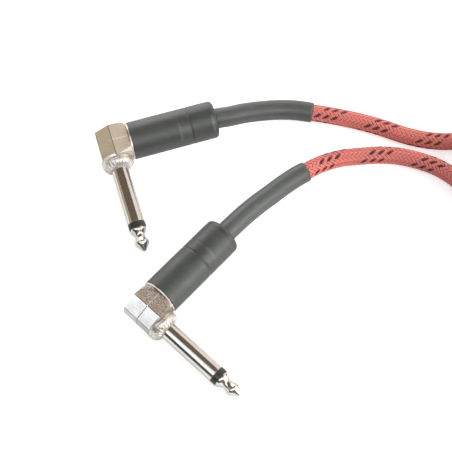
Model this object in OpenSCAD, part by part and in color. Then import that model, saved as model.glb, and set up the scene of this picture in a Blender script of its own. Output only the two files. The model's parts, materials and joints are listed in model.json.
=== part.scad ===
// Instrument cable: one tweed-covered lead with a right-angle 6.35 mm mono plug at each end.
// Each plug is drawn in its own frame: +X along the barrel to the cable, -Y along the
// sleeve to the tip, the origin where the two axes cross. Millimetres throughout.

/* [Plug contact] */
// Diameter of the sleeve that enters the jack
sleeve_d = 6.35; // [6.2:0.01:6.5]
// Wall of the sleeve tube
sleeve_wall = 0.7; // [0.5:0.05:0.9]
// Diameter of the sleeve's stem inside the collar and the head
stem_d = 5.9; // [5.6:0.05:6]
// Barrel axis to the end of the sleeve
sleeve_reach = 32.4; // [28:0.1:36]
// Length of the black insulating ring
ring_len = 2.2; // [1.5:0.1:3]
// Length of the tip beyond the ring
tip_len = 8.8; // [7.5:0.1:10]
// Diameter of the tip where it leaves the ring
tip_shoulder_d = 6; // [5:0.1:6.2]
// Diameter of the waist that the jack spring drops into
tip_neck_d = 3.6; // [3:0.1:4.4]
// Ring to the middle of the waist
tip_neck_at = 2.8; // [2:0.1:3.5]
// Diameter of the rim behind the point
tip_rim_d = 5.3; // [4.8:0.1:6]
// Ring to the rim
tip_rim_at = 5.3; // [4.5:0.1:6.5]
// Width of the rim
tip_rim_w = 0.3; // [0.1:0.1:0.6]
// Diameter of the blunt end of the point
tip_point_d = 1; // [0.4:0.1:2]
// Diameter of the rod that carries the tip
rod_d = 2.4; // [1.6:0.1:3]
// Thickness of the peened head on the rod
peen_len = 0.8; // [0.5:0.1:1.2]
// Diameter of the peened head on the rod
peen_d = 3.8; // [3.4:0.1:4.4]

/* [Elbow head] */
// Width of the head across its two long flats
head_w = 12.1; // [11.6:0.1:14]
// Barrel axis to the closed end of the head
head_top = 5.8; // [5.6:0.1:8]
// Barrel axis to the face that carries the boss
head_bottom = 6.3; // [6:0.1:8]
// Sleeve axis to the back flat of the head
head_back = 5.1; // [4.6:0.1:7]
// Width of the back flat
head_back_w = 5.4; // [2:0.1:9]
// Sleeve axis to the face against the flange ring
head_front = 6.2; // [6:0.1:9]
// Diameter of the ball turning that trims the corners of the head
head_ball_d = 18.1; // [17.6:0.1:20]
// Distance of the centre of that turning ahead of the sleeve axis
head_ball_at = 0.5; // [0:0.1:1.5]
// Distance of that centre from the barrel axis toward the boss
head_ball_drop = 1; // [0:0.1:1.5]
// Diameter of the round boss that the sleeve leaves by
boss_d = 11.6; // [10.6:0.1:12]
// Height of the boss
boss_len = 1.3; // [1:0.1:2.5]
// Diameter of the wiring chamber in the head and spigot
chamber_d = 8.6; // [8:0.1:9]
// Depth of the chamber behind the sleeve axis
chamber_back = 3.6; // [3.4:0.1:4]
// Sleeve axis to the end of the spigot that the barrel screws on
spigot_reach = 15; // [12:0.5:18]

/* [Staked collar] */
// Height of the staked collar
collar_len = 2.8; // [2:0.1:3.5]
// Number of staking notches round the collar
collar_notches = 24; // [8:1:30]
// Width of one notch
notch_w = 0.5; // [0.3:0.05:0.7]
// Depth of a notch below the dome
notch_depth = 0.25; // [0.1:0.05:0.4]
// Diameter of the shoulder that holds the sleeve in the head
shoulder_d = 8.4; // [7.6:0.1:9]
// Thickness of that shoulder
shoulder_len = 1.2; // [0.8:0.1:1.3]

/* [Barrel] */
// How far the flange ring between head and barrel stands out from the shell
flange_lip = 0.6; // [0.2:0.05:0.65]
// Thickness of the flange ring
flange_len = 0.7; // [0.5:0.1:1.5]
// Diameter of the barrel shell
shell_d = 12.7; // [12.2:0.1:13]
// Wall of the barrel shell where it is bored for the spigot and liner
shell_wall = 0.7; // [0.5:0.05:0.9]
// Sleeve axis to the cable end of the barrel shell
shell_reach = 38.9; // [36:0.1:45]
// Thickness of the closed end of the shell
shell_end = 1.3; // [0.8:0.1:2]
// Rounding of the shoulder of the shell
shell_round = 2.2; // [1:0.1:2.4]
// Sleeve axis to the first of the two grooves in the barrel
band_at = 26.4; // [22:0.1:29]
// Width of the band between the grooves
band_len = 4.6; // [3:0.1:6]
// Depth of the grooves
band_groove = 0.2; // [0.1:0.05:0.3]
// Wall of the insulating liner
liner_wall = 0.5; // [0.3:0.05:0.7]
// Wall of the shrink cover over the barrel
wrap_wall = 0.62; // [0.4:0.02:0.9]

/* [Cable] */
// Diameter of the braided cable
cable_d = 6.5; // [6:0.1:6.8]
// Wall of the boot on the cable
boot_wall = 0.4; // [0.3:0.05:0.6]
// Sleeve axis to the end of the boot inside the barrel
boot_inner_reach = 33; // [31:0.1:35]
// Sleeve axis to the cut end of the jacket inside the barrel
jacket_reach = 21.5; // [20:0.1:22]
// Length of jacket drawn hollow over the inner layers
jacket_hollow = 6; // [4:0.5:8]
// Diameter of the shield braid
shield_d = 4; // [3.4:0.1:4.4]
// Diameter of the insulation round the centre wire
core_d = 3; // [2:0.1:3.2]
// Diameter of the centre wire
wire_d = 0.9; // [0.5:0.1:1.2]
// Length of shield left showing
shield_bare = 2; // [1:0.1:3]
// Length of core insulation left showing beyond the shield
core_bare = 5.5; // [3:0.1:6]
// Length of centre wire left showing beyond its insulation
wire_bare = 4.6; // [3:0.1:5]

/* [Terminals] */
// Thickness of the tip lug
lug_t = 0.5; // [0.3:0.1:0.8]
// Width of the tongue of the tip lug
lug_w = 3; // [2:0.1:3.6]
// Diameter of the eye of the tip lug
lug_eye_d = 5.2; // [4.6:0.1:5.4]
// Sleeve axis to the end of the tip lug
lug_reach = 12.5; // [11:0.1:14]
// Thickness of the insulating washer behind the sleeve
washer_len = 1.2; // [0.8:0.1:1.5]
// Thickness of the ground clamp strip
clamp_t = 0.6; // [0.4:0.1:0.8]
// Width of the ground clamp strip
clamp_w = 3.4; // [2.4:0.1:3.6]
// Sleeve axis to the near end of the ground clamp
clamp_start = 8; // [7:0.1:10]
// Width of the crimp band round the jacket
crimp_len = 4.5; // [3:0.1:5]
// Diameter of a solder joint
solder_d = 2.2; // [1.6:0.1:2.6]

/* [Layout] */
// Plug A across the floor, where its two axes cross
plug_a_x = -34.3; // [-40:0.1:-30]
// Plug A along the floor
plug_a_y = 36.7; // [34:0.1:40]
// Heading of the barrel of plug A
plug_a_turn = 17.5; // [10:0.5:25]
// Plug B across the floor
plug_b_x = -19.6; // [-25:0.1:-15]
// Plug B along the floor
plug_b_y = -29.5; // [-33:0.1:-25]
// Heading of the barrel of plug B
plug_b_turn = 48; // [40:0.5:55]
// Middle of the stored coil across the floor
coil_x = 157; // [150:1:170]
// Middle of the stored coil along the floor
coil_y = 8; // [0:1:15]
// Diameter of the coil at the middle of its turns
coil_mean_d = 78; // [70:1:90]
// Turns in the coil
coil_turns = 10.25; // [6.25:1:12.25]
// Gap between turns that lie beside or on each other
coil_gap = 0.6; // [0.5:0.1:2]

/* [Hidden] */
$fn = 64;

nickel = [0.80, 0.77, 0.73];
brass = [0.80, 0.66, 0.36];
shrink_black = [0.30, 0.32, 0.31];
plastic_black = [0.12, 0.12, 0.12];
paper_white = [0.88, 0.86, 0.80];
tweed_red = [0.80, 0.33, 0.32];
copper = [0.78, 0.48, 0.32];
solder_grey = [0.66, 0.67, 0.68];

// Fit clearances: round pieces slide in with this much room on the radius.
slip = 0.05;
// Overshoot of a cutting solid beyond the face that it opens.
cut = 0.5;

// Stations along the sleeve, counted from the barrel axis.
boss_end = head_bottom + boss_len;
shoulder_at = boss_end - shoulder_len;
collar_end = boss_end + collar_len;
tip_at = sleeve_reach + ring_len;
tip_end = tip_at + tip_len;
chamber_r = chamber_d / 2;
stem_r = stem_d / 2;
stem_bore_r = stem_r + slip;
rod_bore_r = rod_d / 2 + slip;
tube_r = sleeve_d / 2 - sleeve_wall - slip;
sleeve_back = chamber_r + 0.1;
washer_back = sleeve_back - washer_len;
lug_back = washer_back - lug_t;
peen_back = lug_back - peen_len;
lug_face = wire_d / 2 + slip;
lug_neck = 1.2;

// Stations and radii along the barrel, counted from the sleeve axis.
flange_end = head_front + flange_len;
shell_start = flange_end + slip;
shell_bore_r = shell_d / 2 - shell_wall;
spigot_r = shell_bore_r - slip;
liner_start = spigot_reach + 2 * slip;
liner_end = shell_reach - shell_end - 2 * slip;
wrap_bore_r = shell_d / 2 + slip;
wrap_r = wrap_bore_r + wrap_wall;
wrap_end = shell_reach + slip + wrap_wall;
cable_r = cable_d / 2;
boot_bore_r = cable_r + 3 * slip;
boot_r = boot_bore_r + boot_wall;
mouth_r = boot_r + slip;

// Inner layers of the cable, stripped back in steps toward the head.
jacket_bore_r = shield_d / 2 + slip;
layer_end = jacket_reach + jacket_hollow - 2 * slip;
shield_start = jacket_reach - shield_bare;
core_start = shield_start - core_bare;
wire_start = core_start - wire_bare;
crimp_r = cable_r + slip;
crimp_start = jacket_reach + 1;
crimp_end = crimp_start + crimp_len;
strip_top = -crimp_r;
pigtail_d = 1.2;
pigtail_x = 16;
pigtail_z = strip_top + pigtail_d / 2 + slip;

// A plug lies on its barrel and rolls down until the rim of its tip or its ring touches.
function roll_to(s, r) = asin(wrap_r / norm([s, r])) - atan2(r, s);
roll = min(roll_to(tip_at + tip_rim_at + tip_rim_w, tip_rim_d / 2),
    roll_to(tip_at, sleeve_d / 2));

// ---- Plug modules, each in the plug's own frame ----

module along_sleeve(from = 0) rotate([90, 0, 0]) translate([0, 0, from]) children();
module along_barrel(from = 0) rotate([0, 90, 0]) translate([0, 0, from]) children();

module ring_solid(outer_r, inner_r, from, to) {
    difference() {
        translate([0, 0, from]) cylinder(r = outer_r, h = to - from);
        translate([0, 0, from - cut]) cylinder(r = inner_r, h = to - from + 2 * cut);
    }
}

// Half section of a solid of revolution with one rounded shoulder at its far end.
module shouldered(r, from, to, round_r) {
    translate([0, from]) square([r, to - from - round_r]);
    translate([0, from]) square([r - round_r, to - from]);
    translate([r - round_r, to - round_r]) intersection() {
        circle(round_r);
        square(round_r);
    }
}

module head_block() {
    half = head_w / 2;
    back = head_back_w / 2;
    intersection() {
        along_sleeve(-head_top) linear_extrude(head_top + head_bottom)
            polygon([
                [head_front, -half], [head_front, half], [0, half],
                [-head_back, back], [-head_back, -back], [0, -half],
            ]);
        translate([head_ball_at, -head_ball_drop, 0]) sphere(d = head_ball_d, $fn = 96);
    }
}

module elbow_head() {
    color(nickel) difference() {
        union() {
            head_block();
            along_sleeve(head_bottom) cylinder(d = boss_d, h = boss_len);
            along_barrel() cylinder(r = spigot_r, h = spigot_reach);
        }
        along_barrel(-chamber_back) cylinder(r = chamber_r, h = spigot_reach + chamber_back + cut);
        along_sleeve() cylinder(r = stem_bore_r, h = boss_end + cut);
        along_sleeve(shoulder_at) cylinder(d = shoulder_d + 4 * slip, h = shoulder_len + cut);
    }
}

module flange_ring() {
    rim = flange_len / 4;
    r = shell_d / 2 + flange_lip;
    bore = spigot_r + slip;
    color(nickel) along_barrel(head_front) rotate_extrude()
        polygon([
            [bore, 0], [r - rim, 0], [r, rim], [r, flange_len - rim],
            [r - rim, flange_len], [bore, flange_len],
        ]);
}

module plug_sleeve() {
    r = sleeve_d / 2;
    bore = r - sleeve_wall;
    color(nickel) along_sleeve() rotate_extrude()
        polygon([
            [bore, sleeve_back], [stem_r, sleeve_back], [stem_r, shoulder_at],
            [shoulder_d / 2, shoulder_at], [shoulder_d / 2, boss_end], [stem_r, boss_end],
            [stem_r, collar_end + slip], [r, collar_end + slip],
            [r, sleeve_reach], [bore, sleeve_reach],
        ]);
}

// Domed ring, quarter-round in section, with staking notches down its dome.
module staked_collar() {
    dome_in = boss_d / 2 - collar_len;
    notch_r = notch_w / 2;
    lean = 45;
    middle = [dome_in + collar_len * cos(lean), collar_len * sin(lean)];
    lift = notch_r - notch_depth;
    color(nickel) along_sleeve(boss_end) difference() {
        rotate_extrude() intersection() {
            translate([dome_in, 0]) circle(collar_len);
            translate([stem_bore_r, 0]) square(boss_d / 2);
        }
        for (i = [0 : collar_notches - 1])
            rotate([0, 0, i * 360 / collar_notches])
                translate([middle[0] + lift * cos(lean), 0, middle[1] + lift * sin(lean)])
                    rotate([0, lean - 90, 0])
                        cylinder(r = notch_r, h = 2 * collar_len, center = true, $fn = 16);
    }
}

module insulating_ring() {
    color(plastic_black) along_sleeve()
        ring_solid(sleeve_d / 2, rod_bore_r, sleeve_reach, tip_at);
}

// Rod with a peened head at the back and the turned tip at the front.
module tip_contact() {
    steps = 8;
    shoulder_r = tip_shoulder_d / 2;
    neck_r = tip_neck_d / 2;
    rim_r = tip_rim_d / 2;
    land = 0.4;
    shoulder_curve = [for (i = [0 : steps]) let (t = i / steps)
        [neck_r + (shoulder_r - neck_r) * (1 + cos(180 * t)) / 2,
            tip_at + land + (tip_neck_at - land) * t]];
    rim_curve = [for (i = [1 : steps]) let (t = i / steps)
        [neck_r + (rim_r - neck_r) * (1 - cos(90 * t)),
            tip_at + tip_neck_at + (tip_rim_at - tip_neck_at) * t]];
    point_r = tip_point_d / 2;
    color(nickel) along_sleeve() rotate_extrude()
        polygon(concat(
            [[0, peen_back], [peen_d / 2 - 0.3, peen_back], [peen_d / 2, peen_back + 0.3],
                [peen_d / 2, lug_back], [rod_d / 2, lug_back], [rod_d / 2, tip_at],
                [shoulder_r, tip_at]],
            shoulder_curve,
            rim_curve,
            [[rim_r, tip_at + tip_rim_at + tip_rim_w], [point_r, tip_end - point_r / 2],
                [point_r / 2, tip_end], [0, tip_end]]
        ));
}

module inner_insulator() {
    color(paper_white) along_sleeve()
        ring_solid(tube_r, rod_bore_r, sleeve_back, sleeve_reach);
}

module rear_washer() {
    color(paper_white) along_sleeve()
        ring_solid(stem_r, rod_bore_r, washer_back, sleeve_back);
}

// Eye under the peened head, and a tongue stepped in to the centre wire.
module lug_shape() {
    near = lug_face;
    bend = lug_eye_d / 2 + lug_neck;
    drop = washer_back - near - lug_t;
    difference() {
        union() {
            along_sleeve(lug_back) cylinder(d = lug_eye_d, h = lug_t);
            translate([0, 0, -lug_w / 2]) linear_extrude(lug_w)
                polygon([
                    [0, -washer_back], [bend, -washer_back], [bend + drop, -near - lug_t],
                    [lug_reach, -near - lug_t], [lug_reach, -near], [bend + drop - lug_t / 2, -near],
                    [bend - lug_t / 2, -lug_back], [0, -lug_back],
                ]);
        }
        along_sleeve() cylinder(r = rod_bore_r, h = washer_back + cut);
    }
}

module tip_lug() {
    color(brass) lug_shape();
}

module clamp_shape() {
    difference() {
        union() {
            translate([clamp_start, -clamp_w / 2, strip_top - clamp_t])
                cube([crimp_end - clamp_start, clamp_w, clamp_t]);
            along_barrel(crimp_start) cylinder(r = crimp_r + clamp_t, h = crimp_len);
        }
        along_barrel(crimp_start - cut) cylinder(r = crimp_r, h = crimp_len + 2 * cut);
    }
}

module ground_clamp() {
    color(brass) clamp_shape();
}

module band_grooves(r) {
    for (at = [band_at, band_at + band_len])
        translate([r + band_groove, at]) circle(2 * band_groove, $fn = 24);
}

module barrel_shell() {
    color(nickel) along_barrel() difference() {
        rotate_extrude() difference() {
            shouldered(shell_d / 2, shell_start, shell_reach, shell_round);
            band_grooves(shell_d / 2);
            translate([0, shell_start - cut])
                square([shell_bore_r, shell_reach - shell_end - shell_start + cut]);
        }
        cylinder(r = mouth_r + slip, h = shell_reach + cut);
    }
}

module barrel_liner() {
    outer = shell_bore_r - slip;
    color(paper_white) along_barrel()
        ring_solid(outer, outer - liner_wall, liner_start, liner_end);
}

// Shrunk cover: follows the shell, its grooves and its shoulder.
module barrel_wrap() {
    inner_round = shell_round + slip;
    color(shrink_black) along_barrel() difference() {
        rotate_extrude() difference() {
            shouldered(wrap_r, flange_end, wrap_end, inner_round + wrap_wall);
            band_grooves(wrap_r);
            shouldered(wrap_bore_r, flange_end - cut, shell_reach + slip, inner_round);
        }
        cylinder(r = mouth_r, h = wrap_end + cut);
    }
}

module shield_braid() {
    color(copper) along_barrel()
        ring_solid(shield_d / 2, core_d / 2 + slip, shield_start, layer_end);
}

module pigtail_shape() {
    along_barrel(pigtail_x) translate([-pigtail_z, 0, 0])
        cylinder(d = pigtail_d, h = shield_start - pigtail_x - slip);
}

// Shield strands gathered and laid along the strip to the solder joint.
module shield_pigtail() {
    color(copper) pigtail_shape();
}

module core_insulation() {
    color(paper_white) along_barrel()
        ring_solid(core_d / 2, wire_d / 2 + slip, core_start, layer_end);
}

module centre_wire() {
    color(copper) along_barrel(wire_start) cylinder(d = wire_d, h = layer_end - wire_start);
}

module tip_solder() {
    color(solder_grey) difference() {
        along_barrel(wire_start + solder_d / 2 + slip) rotate_extrude() intersection() {
            circle(d = solder_d);
            translate([wire_d / 2, -solder_d / 2]) square([solder_d / 2, solder_d]);
        }
        translate([wire_start, -lug_face - solder_d, -solder_d])
            cube([wire_bare, solder_d, 2 * solder_d]);
    }
}

module ground_solder() {
    color(solder_grey) difference() {
        translate([pigtail_x, 0, strip_top]) sphere(d = solder_d);
        translate([clamp_start, -clamp_w / 2, strip_top - clamp_t - solder_d])
            cube([crimp_end - clamp_start, clamp_w, clamp_t + solder_d]);
        pigtail_shape();
    }
}

// ---- Placing the two plugs ----

module at_plug(x, y, turn)
    translate([x, y, wrap_r]) rotate([0, 0, turn]) rotate([roll, 0, 0]) children();
module at_a() at_plug(plug_a_x, plug_a_y, plug_a_turn) children();
module at_b() at_plug(plug_b_x, plug_b_y, plug_b_turn) children();

// ---- Cable: points on its centre line, each paired with its direction ----

// Plug A outward: the first six points lie in the boot, the rest run to the coil.
route_a = [
    [9, 50, 6.6], [15, 52, 5.8], [21, 53.5, 4.9], [27.5, 54.5, 4.2],
    [34, 54.5, 3.9], [40.5, 53.5, 3.8],
    [47, 52.5, 3.4], [54, 51, 3.25], [61, 49, 3.25], [68, 46.5, 3.25], [75.5, 43.5, 3.25],
    [83.5, 41.5, 3.25], [92, 41, 3.25], [102, 43, 3.25], [112, 47, 3.25],
    [123, 52, 3.25], [136, 55.5, 3.25],
];
boot_points_a = 6;

// Plug B outward: the first seven points lie in the boot, the next ones on the floor, and
// the last twelve climb round the outside of the coil to its top layer.
route_b = [
    [11, 4.5, 6.6], [15, 9, 5.8], [19.5, 13.5, 5], [24, 17.5, 4.4], [28.5, 21.5, 4],
    [33, 25, 3.8], [37, 27.5, 3.8],
    [43, 31, 3.4], [50, 33.5, 3.25], [57.5, 34.5, 3.25], [65, 35, 3.25], [72, 34.5, 3.25],
    [79.5, 32.5, 3.25], [87, 29, 3.25], [94, 23, 3.25], [99, 14.5, 3.25],
    [100.5, 4, 3.25], [103.5, -9.5, 3.25], [109, -22, 3.25], [117.5, -32.5, 3.25],
    [129, -41, 3.3], [141.5, -46.5, 4], [155, -48.5, 6], [169, -47.5, 9.5],
    [182, -43, 14], [193, -35, 18.5], [200.5, -24, 22], [204.5, -11, 24],
];
boot_points_b = 7;

function unit(v) = v / norm(v);

// A point on a barrel's axis, a given way from the sleeve axis.
function on_axis(x, y, turn, reach) =
    [x + reach * cos(turn), y + reach * sin(turn), wrap_r];

// Pairs each point with the direction there; the ends take the directions that are given.
function directed(p, first, last) = [for (i = [0 : len(p) - 1])
    [p[i], i == 0 ? first : i == len(p) - 1 ? last : unit(p[i + 1] - p[i - 1])]];
function slice(list, from, to) = [for (i = [from : to]) list[i]];
function length_of(p) = len(p) < 2 ? 0
    : [for (i = 1, sum = norm(p[1] - p[0]); i < len(p);
        i = i + 1, sum = sum + (i < len(p) ? norm(p[i] - p[i - 1]) : 0)) sum][len(p) - 2];

function circle_at(station, r, sides) =
    let (c = station[0], t = station[1], side = unit(cross(t, [0, 0, 1])), up = cross(side, t))
    [for (k = [0 : sides - 1]) let (a = 90 + 360 * k / sides)
        c + r * (cos(a) * side + sin(a) * up)];

// Closed tube along the stations, round or hollow.
module swept(stations, r, sides) {
    n = len(stations);
    points = [for (s = stations) each circle_at(s, r, sides)];
    walls = [for (i = [0 : n - 2], k = [0 : sides - 1])
        let (a = i * sides + k, b = i * sides + (k + 1) % sides)
        each [[a, b, b + sides], [a, b + sides, a + sides]]];
    first = [for (k = [1 : sides - 2]) [0, k + 1, k]];
    end = (n - 1) * sides;
    last = [for (k = [1 : sides - 2]) [end, end + k, end + k + 1]];
    polyhedron(points = points, faces = concat(walls, first, last));
}

module swept_tube(stations, r, bore_r, sides) {
    n = len(stations);
    inner = n * sides;
    points = concat(
        [for (s = stations) each circle_at(s, r, sides)],
        [for (s = stations) each circle_at(s, bore_r, sides)]
    );
    faces = concat(
        [for (i = [0 : n - 2], k = [0 : sides - 1])
            let (a = i * sides + k, b = i * sides + (k + 1) % sides)
            each [[a, b, b + sides], [a, b + sides, a + sides]]],
        [for (i = [0 : n - 2], k = [0 : sides - 1])
            let (a = inner + i * sides + k, b = inner + i * sides + (k + 1) % sides)
            each [[a, b + sides, b], [a, a + sides, b + sides]]],
        [for (k = [0 : sides - 1]) let (j = (k + 1) % sides)
            each [[k, inner + k, inner + j], [k, inner + j, j]]],
        [for (k = [0 : sides - 1]) let (e = (n - 1) * sides, j = (k + 1) % sides)
            each [[e + k, inner + e + j, inner + e + k], [e + k, e + j, inner + e + j]]]
    );
    polyhedron(points = points, faces = faces);
}

// Coil: a flat spiral in, up a layer, out, up, in, up and out, four layers in all.
layers = 4;
loop_steps = 24;
turn_pitch = cable_d + coil_gap;
layer_turns = coil_turns / layers;
coil_outer = coil_mean_d / 2 + layer_turns * turn_pitch / 2;
coil_inner = coil_mean_d / 2 - layer_turns * turn_pitch / 2;
function coil_radius(t) =
    let (k = min(floor(t / layer_turns), layers - 1), done = t - k * layer_turns)
    k % 2 == 0 ? coil_outer - done * turn_pitch : coil_inner + done * turn_pitch;
function climbed(t, k) = min(1, max(0, 2 * (t - k * layer_turns) + 0.5));
function coil_height(t) =
    cable_r + turn_pitch * (climbed(t, 1) + climbed(t, 2) + climbed(t, 3));
function coil_point(t) = let (r = coil_radius(t), a = 90 - 360 * t)
    [coil_x + r * cos(a), coil_y + r * sin(a), coil_height(t)];
coil_spiral = [for (i = [0 : coil_turns * loop_steps]) coil_point(i / loop_steps)];
coil_in = coil_spiral[0] - [cable_d, 0, 0];
coil_out = coil_spiral[len(coil_spiral) - 1] - [0, cable_d, 0];
coil_path = concat([coil_in], coil_spiral, [coil_out]);

coil_least_gap = min([for (i = [0 : len(coil_path) - 1], j = [i + loop_steps / 2 : 1 : len(coil_path) - 1])
    norm(coil_path[j] - coil_path[i])]) - cable_d;

// Each lead from inside its barrel to the coil.
heading_a = [cos(plug_a_turn), sin(plug_a_turn), 0];
heading_b = [cos(plug_b_turn), sin(plug_b_turn), 0];
lead_a = directed(concat(
    [on_axis(plug_a_x, plug_a_y, plug_a_turn, boot_inner_reach),
        on_axis(plug_a_x, plug_a_y, plug_a_turn, wrap_end)],
    route_a, [coil_in]), heading_a, [1, 0, 0]);
lead_b = directed(concat(
    [on_axis(plug_b_x, plug_b_y, plug_b_turn, boot_inner_reach),
        on_axis(plug_b_x, plug_b_y, plug_b_turn, wrap_end)],
    route_b, [coil_out]), heading_b, [0, 1, 0]);
boot_last_a = boot_points_a + 1;
boot_last_b = boot_points_b + 1;
boot_path_a = squared(slice(lead_a, 0, boot_last_a), heading_a);
boot_path_b = squared(slice(lead_b, 0, boot_last_b), heading_b);
run_path_a = slice(lead_a, boot_last_a, len(lead_a) - 1);
run_path_b = slice(lead_b, boot_last_b, len(lead_b) - 1);

// The part of a lead inside the barrel keeps the barrel's heading.
function squared(stations, heading) =
    [for (i = [0 : len(stations) - 1]) i < 2 ? [stations[i][0], heading] : stations[i]];

boot_sides = 16;
run_sides = 8;
coil_sides = 6;

module cable_boot(path) {
    color(shrink_black) swept_tube(path, boot_r, boot_bore_r, boot_sides);
}

// End of the jacket inside the barrel and boot, hollow where it holds the inner layers.
module cable_tail(path, x, y, turn, heading) {
    start = [on_axis(x, y, turn, jacket_reach), heading];
    color(tweed_red) difference() {
        swept(concat([start], path), cable_r, boot_sides);
        at_plug(x, y, turn) along_barrel(jacket_reach - cut)
            cylinder(r = jacket_bore_r, h = jacket_hollow + cut);
    }
}

module cable_boot_a() cable_boot(boot_path_a);
module cable_boot_b() cable_boot(boot_path_b);
module cable_tail_a() cable_tail(boot_path_a, plug_a_x, plug_a_y, plug_a_turn, heading_a);
module cable_tail_b() cable_tail(boot_path_b, plug_b_x, plug_b_y, plug_b_turn, heading_b);
module cable_run_a() color(tweed_red) swept(run_path_a, cable_r, run_sides);
module cable_run_b() color(tweed_red) swept(run_path_b, cable_r, run_sides);
module cable_coil() color(tweed_red)
    swept(directed(coil_path, [1, 0, 0], [0, -1, 0]), cable_r, coil_sides);

echo(coil_least_gap = coil_least_gap);
echo(run_a = length_of([for (s = run_path_a) s[0]]));
echo(run_b = length_of([for (s = run_path_b) s[0]]));
echo(coil = length_of(coil_path));
echo(roll = roll, wrap_r = wrap_r, boot_r = boot_r);

at_a() elbow_head();  // elbow_head_a
at_a() flange_ring();  // flange_ring_a
at_a() plug_sleeve();  // plug_sleeve_a
at_a() staked_collar();  // staked_collar_a
at_a() insulating_ring();  // insulating_ring_a
at_a() tip_contact();  // tip_contact_a
at_a() inner_insulator();  // inner_insulator_a
at_a() rear_washer();  // rear_washer_a
at_a() tip_lug();  // tip_lug_a
at_a() ground_clamp();  // ground_clamp_a
at_a() barrel_shell();  // barrel_shell_a
at_a() barrel_liner();  // barrel_liner_a
at_a() barrel_wrap();  // barrel_wrap_a
cable_boot_a();
cable_tail_a();
at_a() shield_braid();  // shield_braid_a
at_a() shield_pigtail();  // shield_pigtail_a
at_a() core_insulation();  // core_insulation_a
at_a() centre_wire();  // centre_wire_a
at_a() tip_solder();  // tip_solder_a
at_a() ground_solder();  // ground_solder_a

at_b() elbow_head();  // elbow_head_b
at_b() flange_ring();  // flange_ring_b
at_b() plug_sleeve();  // plug_sleeve_b
at_b() staked_collar();  // staked_collar_b
at_b() insulating_ring();  // insulating_ring_b
at_b() tip_contact();  // tip_contact_b
at_b() inner_insulator();  // inner_insulator_b
at_b() rear_washer();  // rear_washer_b
at_b() tip_lug();  // tip_lug_b
at_b() ground_clamp();  // ground_clamp_b
at_b() barrel_shell();  // barrel_shell_b
at_b() barrel_liner();  // barrel_liner_b
at_b() barrel_wrap();  // barrel_wrap_b
cable_boot_b();
cable_tail_b();
at_b() shield_braid();  // shield_braid_b
at_b() shield_pigtail();  // shield_pigtail_b
at_b() core_insulation();  // core_insulation_b
at_b() centre_wire();  // centre_wire_b
at_b() tip_solder();  // tip_solder_b
at_b() ground_solder();  // ground_solder_b

cable_run_a();
cable_coil();
cable_run_b();
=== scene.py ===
"""Finishes a tweed instrument cable: braid, boots, shrink covers and two right-angle plugs."""

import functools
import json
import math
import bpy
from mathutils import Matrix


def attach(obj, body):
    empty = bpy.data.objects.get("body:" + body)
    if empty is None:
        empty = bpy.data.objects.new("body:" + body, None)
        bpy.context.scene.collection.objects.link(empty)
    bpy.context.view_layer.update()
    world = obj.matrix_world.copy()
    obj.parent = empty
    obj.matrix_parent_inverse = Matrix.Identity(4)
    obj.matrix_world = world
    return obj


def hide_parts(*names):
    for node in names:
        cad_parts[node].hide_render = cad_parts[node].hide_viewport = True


bl_info = {
    "name": "Instrument Cable",
    "version": (1, 0, 0),
    "blender": (4, 5, 0),
    "location": "3D View > Sidebar > Instrument Cable",
    "description": "Makes the finished pieces of a tweed instrument cable with right-angle plugs",
    "category": "Object",
}

import bmesh
import bpy
from mathutils import Matrix, Vector

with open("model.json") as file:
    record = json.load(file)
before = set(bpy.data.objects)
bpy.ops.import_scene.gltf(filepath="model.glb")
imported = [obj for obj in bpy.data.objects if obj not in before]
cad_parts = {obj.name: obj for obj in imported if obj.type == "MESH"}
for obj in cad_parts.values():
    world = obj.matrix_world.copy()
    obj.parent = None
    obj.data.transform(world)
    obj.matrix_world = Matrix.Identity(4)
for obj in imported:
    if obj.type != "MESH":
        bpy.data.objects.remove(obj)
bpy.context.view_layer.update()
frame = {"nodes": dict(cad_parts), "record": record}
MM = 0.001
BODY = "root"


# ---------------------------------------------------------------- settings


def length(name, description, millimetres):
    """A length property, stored in metres and given here in millimetres."""
    return bpy.props.FloatProperty(name=name, description=description, default=millimetres * MM,
                                   min=0.0, unit="LENGTH", precision=5)


def number(name, description, value, least):
    """A property that counts."""
    return bpy.props.IntProperty(name=name, description=description, default=value, min=least)


def colour(name, description, value):
    """A colour property in linear light."""
    return bpy.props.FloatVectorProperty(name=name, description=description, default=value,
                                         size=3, min=0.0, max=1.0, subtype="COLOR")


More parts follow.
